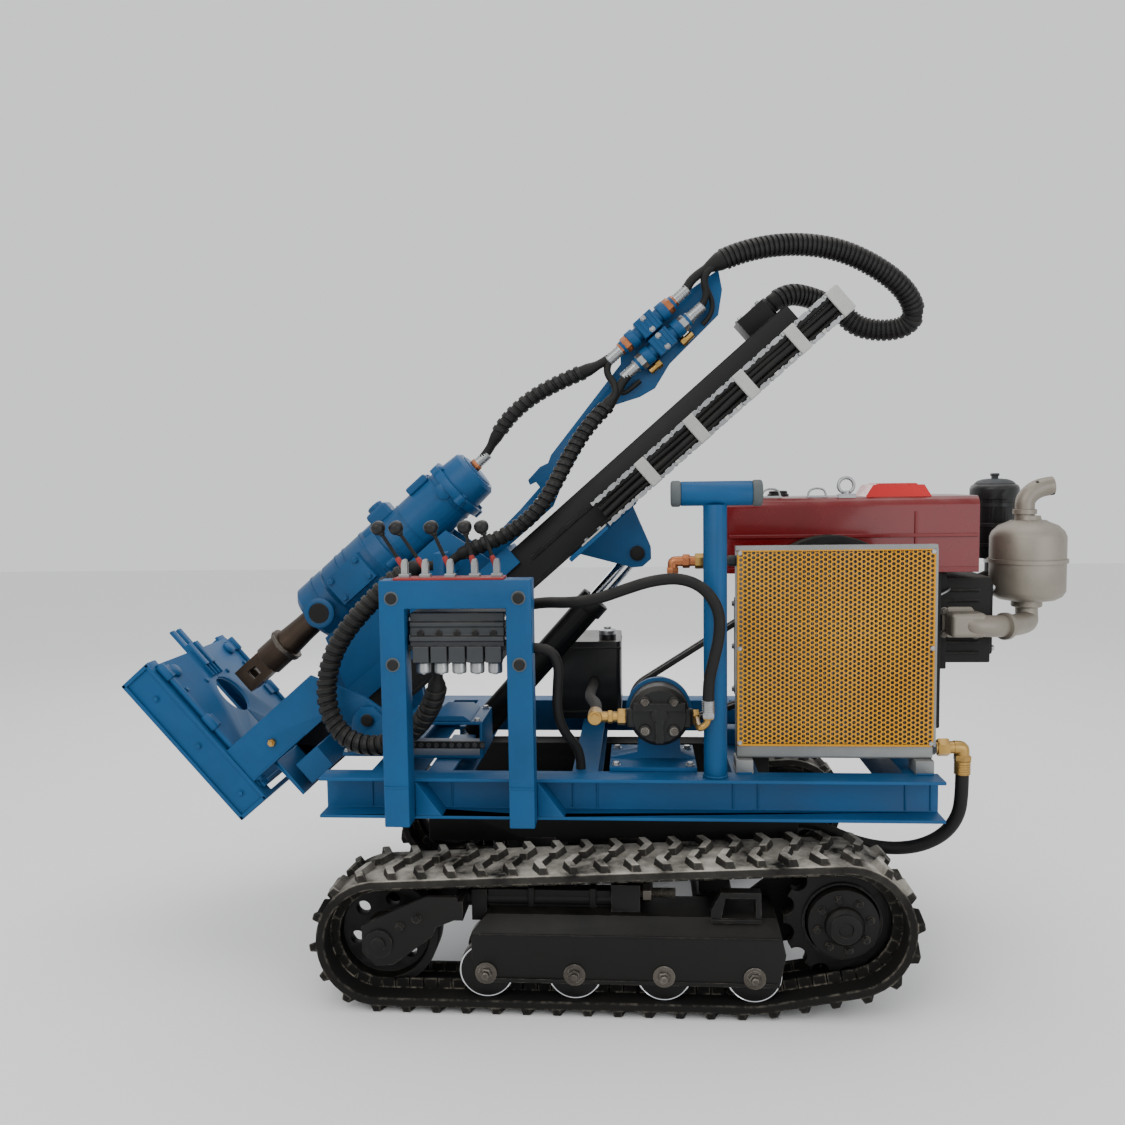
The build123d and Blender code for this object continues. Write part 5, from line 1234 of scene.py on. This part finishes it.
# One six-sided cell with a round hole, in a pair that repeats sideways and up
def coolerGuard():
    facts = coolerFacts
    pitch = facts["pitch"]
    reach = pitch / 3 ** 0.5
    bpy.ops.mesh.primitive_circle_add(vertices=12, radius=facts["hole"], location=(0, 0, 0), rotation=(radians(90), 0, 0))
    cell = bpy.context.active_object
    applyPlace(cell)
    openMesh(cell)
    bpy.ops.mesh.extrude_edges_move()
    share = reach / facts["hole"]
    bpy.ops.transform.resize(value=(share, share, share), center_override=(0, 0, 0))
    bpy.ops.object.mode_set(mode="OBJECT")
    for vertex in cell.data.vertices:
        if vertex.co.length > facts["hole"] * 1.1:
            turn = round(degrees(atan2(vertex.co.z, vertex.co.x)) / 30)
            if turn % 2:
                vertex.co *= cos(radians(30))
    pair = shifted(cell, [(0, 0, 0), (1.5 * reach, 0, pitch / 2)])
    for count, step in ((facts["columns"] // 2, (3 * reach, 0, 0)), (facts["rows"], (0, 0, pitch))):
        withModifier(pair, "ARRAY", use_relative_offset=False, use_constant_offset=True,
                     constant_offset_displace=step, count=count)
    openMesh(pair)
    bpy.ops.mesh.remove_doubles(threshold=0.0002)
    closeMesh()
    lows = [min(vertex.co[axis] for vertex in pair.data.vertices) for axis in (0, 2)]
    highs = [max(vertex.co[axis] for vertex in pair.data.vertices) for axis in (0, 2)]
    wide, tall = facts["right"] - facts["left"] - 0.004, facts["high"] - facts["guardLow"] - 0.004
    fit = Matrix.Diagonal((wide / (highs[0] - lows[0]), 1, tall / (highs[1] - lows[1]), 1))
    pair.data.transform(fit @ Matrix.Translation((-lows[0], 0, -lows[1])))
    pair.data.transform(Matrix.Translation((facts["left"] + 0.002, facts["front"] - 0.0075, facts["guardLow"] + 0.002)))
    withModifier(pair, "SOLIDIFY", thickness=facts["sheet"], offset=0)
    left, right, low, high, front = (facts[key] for key in ("left", "right", "guardLow", "high", "front"))
    rims = [
        block(left, left + 0.0045, front - 0.009, front, low, high, 0.0008),
        block(right - 0.0045, right, front - 0.009, front, low, high, 0.0008),
        block(left, right, front - 0.009, front - 0.001, low, low + 0.005, 0.0008),
        block(left, right, front - 0.009, front - 0.001, high - 0.005, high, 0.0008),
    ]
    sheet = settle([pair] + rims, "guardSheet", "guardYellow", nodes=["cooler_guard"])
    strips = [block(left - 0.004, right + 0.004, front - 0.0095, front + 0.01, high - 0.002, high + 0.009, 0.0012),
              block(right - 0.001, right + 0.005, front - 0.0095, front + 0.01, low, high, 0.0012)]
    settle(strips, "guardStrips", "coolerAlloy")
    screws = [((x, front - 0.009, z), minusY) for x in (left + 0.006, right - 0.006)
              for z in (low + 0.008, (low + high) / 2, high - 0.008)]
    boltRow("guardScrews", screws, 0.0045, 0.0028)
    print("guard triangles", sum(len(face.vertices) - 2 for face in sheet.data.polygons))


# Crimped end of a hose, seen from the hose towards its nut
def crimp(point, direction, radius, length, nutSize, nutHeight):
    rows = [(0, radius * 0.82), (length * 0.06, radius)]
    for index in range(5):
        start = length * (0.1 + 0.17 * index)
        rows += [(start, radius), (start + length * 0.02, radius * 0.93), (start + length * 0.09, radius * 0.93),
                 (start + length * 0.11, radius)]
    rows += [(length, radius), (length * 1.02, radius * 0.68)]
    sleeve = turnedAt(rows, point, direction, 28)
    nut = nutAt(Vector(point) + Vector(direction).normalized() * length, direction, nutSize, nutHeight)
    return sleeve, nut


def coolerFittings():
    facts = coolerFacts
    y, z = facts["front"] + 0.028, 1.071
    brass, copper, dark = [], [], []
    dark.append(turnedAt([(0, 0.0125), (0.002, 0.0135), (0.016, 0.0135), (0.018, 0.0125)],
                         (facts["left"] - 0.018, y, z), plusX, 28))
    dark.append(rodAt(0.011, 0.070, (0.232, y, z), plusX, 24))
    brass.append(nutAt((0.212, y, z), plusX, 0.019, 0.022))
    brass.append(nutAt((0.240, y, z), plusX, 0.0165, 0.014))
    elbow = [(0.214, y, z), (0.186, y, z), (0.160, y, z), (0.158, y, z - 0.004), (0.158, y, 1.042)]
    copper.append(pipe(elbow, 0.0125, 24, 0.003))
    copper.append(nutAt((0.182, y, z), plusX, 0.0170, 0.018))
    copper.append(nutAt((0.158, y, 1.042), plusZ, 0.0160, 0.014))
    lowZ = 0.612
    brass.append(rodAt(0.015, 0.070, (facts["right"] - 0.001, y, lowZ), plusX, 28))
    brass.append(nutAt((0.795, y, lowZ), plusX, 0.022, 0.028))
    dark.append(nutAt((0.779, y, lowZ), plusX, 0.019, 0.012))
    brass.append(pipe([(0.835, y, lowZ), (0.853, y, lowZ), (0.856, y, lowZ - 0.004), (0.856, y, 0.585)], 0.0165, 28, 0.003))
    sleeve, nut = crimp((0.856, y, 0.545), plusZ, 0.0195, 0.034, 0.021, 0.014)
    brass += [sleeve, nut]
    settle(brass, "coolerBrass", "brassFitting", nodes=["cooler_fittings"])
    settle(copper, "coolerCopper", "copperFitting")
    settle(dark, "coolerPorts", "castGrey")


coolerCore()
coolerGuard()
coolerFittings()
print("cooler made")

# Pump with its pedestal and brass, oil tank and rest post
pumpFacts = {"x": 0.123, "z": 0.692, "front": -0.400, "boltRing": 0.050}


def pumpSet():
    facts = pumpFacts
    x, z, front = facts["x"], facts["z"], facts["front"]
    soften("pump", "pumpBlack", 0.003, 3)
    soften("pump_mount", "machineBlue", 0.0025)
    ears = []
    for side in (-1, 1):
        ears.append(block(x + side * 0.048, x + side * 0.079, front + 0.002, front + 0.026, z - 0.030, z + 0.018, 0.006, 3))
    ears.append(buttonAt(0.020, 0.007, 0.009, 0.016, (x, front - 0.0005, z + 0.004), minusY))
    boss = [(0, 0.0155), (0.008, 0.0150), (0.010, 0.013)]
    turns = around(4, pi / 4)
    ears += [turnedAt(boss, *place, 24) for place in ringPlaces(x, front + 0.003, z, facts["boltRing"], turns, minusY)]
    settle(ears, "pumpEars", "pumpBlack")
    bolts = ringPlaces(x, front - 0.006, z, facts["boltRing"], turns, minusY)
    boltRow("pumpBolts", bolts, 0.0085, 0.008, "rollerSteel")
    foot = [((px, py, 0.567), plusZ) for px in (0.016, 0.198) for py in (-0.385, -0.225)]
    boltRow("pumpFeet", foot)


def pumpFittings():
    facts = pumpFacts
    y, z = facts["front"] + 0.030, facts["z"] - 0.008
    outX, outY, top = facts["x"] + 0.113, -0.486, 0.752
    bits = [
        nutAt((0.020, y, z), plusX, 0.021, 0.021), rodAt(0.013, 0.066, (-0.030, y, z), plusX, 24),
        nutAt((-0.004, y, z), plusX, 0.0165, 0.012),
        turnedAt([(0, 0.0165), (0.002, 0.0185), (0.050, 0.0185), (0.054, 0.0165)], (-0.036, y - 0.016, z), plusY),
        buttonAt(0.0122, 0.004, 0.0045, 0.009, (-0.036, y - 0.016, z), minusY, 6),
    ]
    nodeOut = facts["x"] + 0.091
    bits += [
        nutAt((facts["x"] + 0.0825, y, z), plusX, 0.019, 0.016),
        pipe([(nodeOut, y + 0.004, z), (nodeOut, y - 0.040, z), (nodeOut, outY + 0.010, z), (nodeOut + 0.004, outY, z),
              (outX - 0.004, outY, z + 0.010), (outX, outY, z + 0.026), (outX, outY, top - 0.030)], 0.0082, 20, 0.003),
        nutAt((outX, outY, z + 0.022), plusZ, 0.0135, 0.014),
    ]
    settle(bits, "pumpBrass", "brassFitting", nodes=["pump_fittings"])
    sleeve, nut = crimp((outX, outY, top), minusZ, 0.0150, 0.030, 0.0150, 0.013)
    settle([sleeve, nut], "pumpFerrule", "zincSteel")


def tankAndPost():
    soften("oil_tank", "canisterBlack", 0.003)
    seams = [block(-0.1815, 0.0215, 0.1485, 0.3915, z, z + 0.006, 0.002) for z in (0.575, 0.768)]
    settle(seams, "tankSeams", "canisterBlack")
    cap = turnedAt([(0, 0.026), (0.012, 0.027), (0.014, 0.024), (0.018, 0.012), (0.022, 0.012), (0.024, 0.009)],
                   (-0.02, 0.2, 0.806), plusZ, 36)
    settle(cap, "tankCap", "zincSteel")
    soften("rest_post", "machineBlue", 0.0015, 2, 40)
    soften("rest_pads", "dustyGreyRubber", 0.006, 4, 40)
    corners = [(0.256 + 0.028 * cos(turn), -0.440 + 0.028 * sin(turn), 0.5595) for turn in around(24)]
    bead("postWeld", list(zip(corners, corners[1:] + corners[:1])), 0.003, "machineBlue")


pumpSet()
pumpFittings()
tankAndPost()
print("pump, tank and post made")


# Mast: beam with rails, near-black as painted shade over its blue, feed motor, lift bracket and cylinder; drawn level
# in s and n, then turned
mastFacts = {"low": -0.330, "high": 1.490, "half": 0.080, "bottom": 0.875, "top": 0.995, "liftPin": (0.072, 0, 1.068)}


def mastSet():
    facts = mastFacts
    low, high, half, bottom, top = (facts[key] for key in ("low", "high", "half", "bottom", "top"))
    # the beam and its rails are near-black, painted shade over their blue; the beam's low end stays blue
    beam = soften("mast_beam", "blackAndMastShade", 0.003)
    paint(beam, "machineBlue", lambda centre: centre.x < -0.12 and abs(centre.z - 0.935) < 0.056, True)
    rails = []
    for side in (-1, 1):
        y = side * half
        rails.append(block(low + 0.01, high, y - side * 0.012, y + side * 0.0003, top - 0.001, top + 0.0003, 0.0001, 1))
        rails.append(block(0.53, high, y - side * 0.001, y + side * 0.006, top - 0.058, top - 0.047, 0.0015))
        rails.append(block(low, high, y - side * 0.001, y + side * 0.006, bottom + 0.001, bottom + 0.011, 0.0015))
    settle(rails, "beamRails", "blackAndMastShade", "mast")
    soften("feed_motor", "blackAndMastShade", 0.005, 3)
    bolts = [((s, y, top + 0.058), plusZ) for s in (1.394, 1.456) for y in (0.028, 0.100)]
    boltRow("feedBolts", bolts, 0.007, 0.007, body="mast")
    sprocket = turned([(-0.012, 0.030), (-0.010, 0.038), (0.010, 0.038), (0.012, 0.030)], 26)
    sprocket.data.transform(Matrix.Translation((high - 0.032, 0, 0.94)) @ Matrix.Rotation(radians(90), 4, "X"))
    settle(sprocket, "feedSprocket", "rollerSteel", "mast")
    soften("lift_bracket", "machineBlue", 0.0025)
    lug = fromMast @ Vector(facts["liftPin"])
    pin = [(0, 0.0205), (0.003, 0.0205), (0.005, 0.018), (0.006, 0.008)]
    pins = [turnedAt(pin, (lug.x, side * 0.0485, lug.z), (0, side, 0)) for side in (-1, 1)]
    settle(pins, "bracketPins", "engineIron", "mast")
    end = block(0.664, 0.748, -0.177, -0.098, 0.8745, 0.8785, 0.0012)
    settle(end, "chainAnchor", "barGrey", "mast")
    boltRow("anchorScrews", [((s, -0.15, 0.8785), plusZ) for s in (0.682, 0.728)], 0.007, 0.006, body="mast")
    soften("lift_barrel", "blackAndMastShade", 0.002, 2, 40)
    soften("lift_rod", "polishedRod", 0.0012, 2, 40)


# Cable chain: jagged steel links on both edges, light bars with round ends, and the lines that it carries
chainFacts = {"low": 0.751, "high": 1.600, "bottom": 0.867, "top": 0.947, "near": -0.164, "far": -0.080,
              "bars": (0.924, 1.093, 1.263, 1.437, 1.578), "pitch": 0.047}


def cableChain():
    facts = chainFacts
    low, high, bottom, top = (facts[key] for key in ("low", "high", "bottom", "top"))
    near, far, pitch = (facts[key] for key in ("near", "far", "pitch"))
    outline = [(-0.026, 0.000), (-0.022, 0.0), (-0.017, 0.0030), (-0.008, 0.0), (0.010, 0.0), (0.015, 0.0036),
               (0.022, 0.0010), (0.026, 0.005), (0.026, 0.0095), (0.018, 0.0140), (0.009, 0.0105), (0.003, 0.0130),
               (-0.009, 0.0130), (-0.014, 0.0090), (-0.026, 0.0115)]
    count = int((high - low - 0.06) / pitch) + 1
    links = []
    for y, n, flip in ((near, bottom, 1), (near, top, -1), (far - 0.004, bottom, 1), (far - 0.004, top, -1)):
        link = plate([(s, flip * z) for s, z in outline], y + 0.003, y + 0.0055, 0.0006)
        links.append(shifted(link, [(low + 0.03 + pitch * index, 0.0028 * (index % 2), n) for index in range(count)]))
    pin = turned([(0, 0.0042), (0.0015, 0.0046), (0.003, 0.0038)], 12)
    places = [(low + 0.03 + pitch * (index + 0.5), near + 0.0032, n) for index in range(count)
              for n in (bottom + 0.007, top - 0.007)]
    links.append(copied(pin, [facing(place, minusY) for place in places]))
    settle(links, "chainLinks", "zincSteel", "mast", nodes=["cable_chain"])
    bars = []
    for s in facts["bars"]:
        bars.append(block(s - 0.017, s + 0.017, near - 0.0015, near + 0.0075, bottom, top, 0.0045, 3))
        bars.append(block(s - 0.017, s + 0.017, near, far, top - 0.008, top, 0.0025))
        bars.append(block(s - 0.017, s + 0.017, near, far, bottom, bottom + 0.008, 0.0025))
        bars.append(block(s - 0.006, s + 0.006, near + 0.007, near + 0.010, bottom + 0.004, top - 0.004, 0.001))
    bars.append(block(high - 0.010, high, near, far, bottom + 0.002, top - 0.002, 0.003))
    settle(bars, "chainBars", "barGrey", "mast")
    squares = [block(s - 0.006, s + 0.006, near + 0.0015, near + 0.004, bottom + 0.004, bottom + 0.013, 0.0008)
               for s in (0.80, 0.86, 1.00, 1.04, 1.17, 1.21, 1.34, 1.39, 1.50)]
    settle(squares, "chainSquares", "barGrey", "mast")
    lines = []
    for n, y, radius in ((0.883, -0.146, 0.0078), (0.900, -0.150, 0.0085), (0.917, -0.146, 0.0080), (0.932, -0.150, 0.0075),
                         (0.892, -0.122, 0.0090), (0.922, -0.118, 0.0090)):
        points = []
        for step in range(10):
            s = low + 0.012 + (high - low - 0.024) * step / 9
            points.append((s, y + random.uniform(-0.003, 0.003), n + random.uniform(-0.0028, 0.0028)))
        lines.append(pipe(points, radius, 14, 0.02))
    settle(lines, "chainLines", "hoseBlack", "mast")


# Head: softened castings with rings, bolts, port and plugs of their own, and the spindle's collar
headFacts = {"high": 0.210, "motorHigh": 0.568, "gearRadius": 0.092, "motorRadius": 0.078, "n": 1.230,
             "lugTurns": (0.9, 2.2, 3.6, 5.0), "port": (-0.010, -0.1105, 1.220), "boreY": -0.1166}


def headSet():
    facts = headFacts
    n, gear, motor, high, end = (facts[key] for key in ("n", "gearRadius", "motorRadius", "high", "motorHigh"))
    head = soften("drill_head", "headBlue", 0.003, 3, 30)
    portS, _, portN = facts["port"]
    paint(head, "engineIron", lambda c: c.y < -0.085 and hypot(c.x - portS, c.z - portN) < 0.0215, True)
    soften("carriage", "machineBlue", 0.003)
    rings = []
    for s, radius, width in ((0.006, gear, 0.004), (0.100, gear, 0.004), (0.130, gear, 0.003), (0.196, gear, 0.006),
                             (0.262, motor, 0.004), (0.330, motor, 0.003), (0.455, motor, 0.005)):
        outer, inner = radius + 0.0022, radius - 0.003
        rings.append(turnedAt([(0, inner), (0.0006, outer), (width, outer), (width + 0.0006, inner)], (s, 0, n), plusX, 72))
    rings.append(turnedAt([(0, motor - 0.002), (0.004, motor - 0.001), (0.016, motor - 0.004), (0.018, motor - 0.012)],
                          (end - 0.068, 0, n), plusX, 72))
    for turn in facts["lugTurns"]:
        y, z = cos(turn), sin(turn)
        lug = buttonAt(0.017, 0.022, 0.024, 0.015, (end - 0.092, (motor + 0.004) * y, n + (motor + 0.004) * z), plusX, 28)
        neck = buttonAt(0.015, 0.026, 0.028, 0.013, (high + 0.006, (motor + 0.006) * y, n + (motor + 0.006) * z), plusX, 28)
        rings += [lug, neck]
    port = [(0, 0.042), (0.009, 0.042), (0.011, 0.039), (0.0115, 0.030), (0.010, 0.0285)]
    rings.append(turnedAt(port, facts["port"], minusY, 48))
    rings.append(buttonAt(0.022, 0.008, 0.010, 0.019, (0.470, -motor + 0.002, n + 0.012), minusY))
    rings.append(block(0.245, 0.318, -0.034, 0.034, n + motor - 0.012, n + motor + 0.034, 0.010, 3))
    rings.append(buttonAt(0.024, 0.012, 0.015, 0.020, (0.282, 0, n + motor + 0.032), plusZ, 36))
    for side in (-1, 1):
        rings.append(block(0.385, 0.455, side * 0.028 - 0.015, side * 0.028 + 0.015, n + motor - 0.010,
                           n + motor + 0.014, 0.006, 3))
    settle(rings, "headRings", "headBlue", "head")
    bore = turnedAt([(0, 0.0284), (0.0050, 0.0280), (0.0052, 0.0010)], (portS, facts["boreY"], portN), minusY, 36)
    settle(bore, "headBore", "engineIron", "head")
    bolts = []
    for turn in facts["lugTurns"]:
        y, z = cos(turn), sin(turn)
        bolts.append(((end - 0.068, (motor + 0.004) * y, n + (motor + 0.004) * z), plusX))
        bolts.append(((high + 0.034, (motor + 0.006) * y, n + (motor + 0.006) * z), plusX))
    for s, z in ((0.074, n - 0.026), (0.166, n - 0.026), (0.074, n + 0.032), (0.166, n + 0.032)):
        bolts.append(((s, -gear - 0.026, z), minusY))
    bolts += [((-0.058, 0.056 * cos(turn), n + 0.056 * sin(turn)), minusX) for turn in around(8, 0.35)]
    boltRow("headBolts", bolts, 0.0085, 0.008, "headBlue", "head")
    topCap = buttonAt(0.052, 0.004, 0.006, 0.048, (end - 0.002, 0, n), plusX, 56)
    settle(topCap, "headCap", "headBlue", "head")
    soften("spindle", "chuckBrown", 0.003, 3, 30)
    collar = turnedAt([(0, 0.047), (0.002, 0.0525), (0.012, 0.0525), (0.014, 0.048)], (-0.192, 0, n), plusX, 56)
    settle(collar, "spindleRing", "rollerSteel", "spindle")
    spots = [((-0.183, 0.0505 * cos(turn), n + 0.0505 * sin(turn)), (0, cos(turn), sin(turn)))
             for turn in (0.4, 1.97, 3.54, 5.11)]
    boltRow("spindleScrews", spots, 0.006, 0.004, "rollerSteel", "spindle")


# Hose arm with its clamps, and the fittings where hoses meet the bulkhead tubes
armFacts = {"low": 1.095, "high": 1.280, "rows": (1.144, 1.206), "y": -0.038, "brassN": 1.108}


def armSet():
    facts = armFacts
    y, brassN, brassY = facts["y"], facts["brassN"], facts["y"] + 0.012
    soften("hose_arm", "machineBlue", 0.002)
    ribs = []
    for n in facts["rows"]:
        for index in range(5):
            s = 1.160 + 0.0125 * index
            ribs.append(block(s, s + 0.006, y - 0.0295, y - 0.025, n - 0.026, n + 0.026, 0.0015))
    settle(ribs, "clampRibs", "machineBlue", "head")
    screws = [((1.1875, y - 0.027, n + dn), minusY) for n in facts["rows"] for dn in (-0.019, 0.019)]
    boltRow("clampScrews", screws, 0.0065, 0.006, body="head")
    silver, copper, brass = [], [], []
    for end, way in ((facts["low"], -1), (facts["high"], 1)):
        for row, n in enumerate(facts["rows"]):
            target = copper if row == 1 else silver
            target.append(nutAt((end - way * 0.030, y, n), (way, 0, 0), 0.0230, 0.022))
            sleeve, nut = crimp((end + way * 0.052, y, n), (-way, 0, 0), 0.0155, 0.046, 0.0185, 0.016)
            silver.append(sleeve)
            target.append(nut)
        brass.append(nutAt((end - way * 0.055, brassY, brassN), (way, 0, 0), 0.0125, 0.016))
        brass.append(rodAt(0.010, 0.034, (end - way * 0.050, brassY, brassN), (way, 0, 0)))
    settle(silver, "armFerrules", "zincSteel", "head")
    settle(copper, "armCopper", "copperFitting", "head")
    settle(brass, "armBrass", "brassFitting", "head")
    # single hoses from the fittings into the wrapped bundles
    tails = []
    for end, way, hoseName, low, share in ((facts["high"], 1, "loop_hose", 0.085, 0.155),
                                           (facts["low"], -1, "bulkhead_hose", 0.11, 0.2)):
        rows = hoseFrames[hoseName]
        first, second, third = (fromMast @ rows[int(len(rows) * part)][0] for part in (low, share, share + 0.05))
        starts = ((facts["rows"][0 if way > 0 else 1], y, 0.0098, -0.010), (brassN, brassY, 0.0068, 0.012))
        for n, lineY, radius, shift in starts:
            side = Vector((0, shift, -0.004))
            points = [(end + way * 0.02, lineY, n), (end + way * 0.075, lineY, n), first + side, second + side * 0.6, third]
            tails.append(pipe(points, radius, 16))
    settle(tails, "armTails", "hoseBlack", "head")
    headTop = headFacts["n"] + 0.014
    sleeve, nut = crimp((0.626, 0, headTop), minusX, 0.0150, 0.040, 0.0175, 0.015)
    base = rodAt(0.020, 0.010, (0.562, 0, headTop), plusX, 24)
    settle([sleeve, base], "headFerrule", "zincSteel", "head")
    settle(nut, "headNut", "copperFitting", "head")


# Guide frame: skirt lips, hinge rods with their knuckles, ears, welds and a brass grease point on each side
guideFacts = {"s": -0.412, "low": 0.960, "half": 0.234, "thick": 0.010}


def guideSet():
    facts = guideFacts
    face = facts["s"] + facts["thick"]
    soften("front_frame", "machineBlue", 0.003)
    for name in ("guide_near", "guide_far"):
        soften(name, "machineBlue", 0.0025, 2, 30)
    bits = []
    knuckle = [(0, 0.0115), (0.002, 0.0125), (0.044, 0.0125), (0.046, 0.0115)]
    for side in (-1, 1):
        y = side * (facts["half"] + 0.002)
        bits.append(rodAt(0.0075, 0.40, (face + 0.003, y, facts["low"] + 0.02), plusZ))
        for n in (0.985, 1.165, 1.345):
            bits.append(turnedAt(knuckle, (face + 0.003, y, n), plusZ, 28))
            bits.append(block(face - 0.004, face + 0.007, y - side * 0.040, y - side * 0.004, n + 0.004, n + 0.042, 0.003))
        bits.append(turnedAt([(0, 0.020), (0.008, 0.020), (0.012, 0.016), (0.014, 0.008)],
                             (face - 0.001, side * 0.185, 1.362), plusX))
        for offset in (0.011, 0.030):
            bits.append(block(face - 0.001, face + 0.010, side * offset - 0.0022, side * offset + 0.0022,
                              1.302, 1.400, 0.0018))
        bits.append(block(face - 0.001, face + 0.006, side * 0.030, side * 0.215, facts["low"] + 0.004,
                          facts["low"] + 0.014, 0.002))
        for s0, s1, n0, n1 in ((-0.5095, -0.4985, 0.9335, 1.4175), (-0.4235, -0.4125, 0.9335, 1.4175),
                               (-0.509, -0.413, 1.406, 1.4175), (-0.509, -0.413, 0.9335, 0.945)):
            bits.append(block(s0, s1, side * 0.2490, side * 0.2560, n0, n1, 0.0022))
    settle(bits, "guideIrons", "machineBlue", "mast")
    runs = [((facts["s"] + 0.001, side * 0.2385, 0.97), (facts["s"] + 0.001, side * 0.2385, 1.10)) for side in (-1, 1)]
    runs += [((-0.40, side * 0.2505, 0.993), (-0.22, side * 0.2505, 0.993)) for side in (-1, 1)]
    bead("guideWelds", runs, 0.0024, "machineBlue", "mast")
    bolts = [((face + 0.0005, side * y, n), plusX) for side in (-1, 1) for y in (0.075, 0.205) for n in (0.99, 1.30)]
    boltRow("guideBolts", bolts, 0.007, 0.005, "machineBlue", "mast")
    skirtBolts = [((-0.461, side * 0.2502, n), (0, side, 0)) for side in (-1, 1) for n in (0.99, 1.16, 1.33)]
    boltRow("skirtBolts", skirtBolts, 0.0075, 0.006, "machineBlue", "mast")
    for side, name in ((-1, "Near"), (1, "Far")):
        point, direction = (-0.30, side * 0.2485, 1.035), (0, side, 0)
        fitting = [nutAt(point, direction, 0.011, 0.012), rodAt(0.0065, 0.018, point, direction, 16)]
        settle(fitting, "greasePoint" + name, "brassFitting", "mast")


mastSet()
cableChain()
headSet()
armSet()
guideSet()
print("mast, head and guide made")
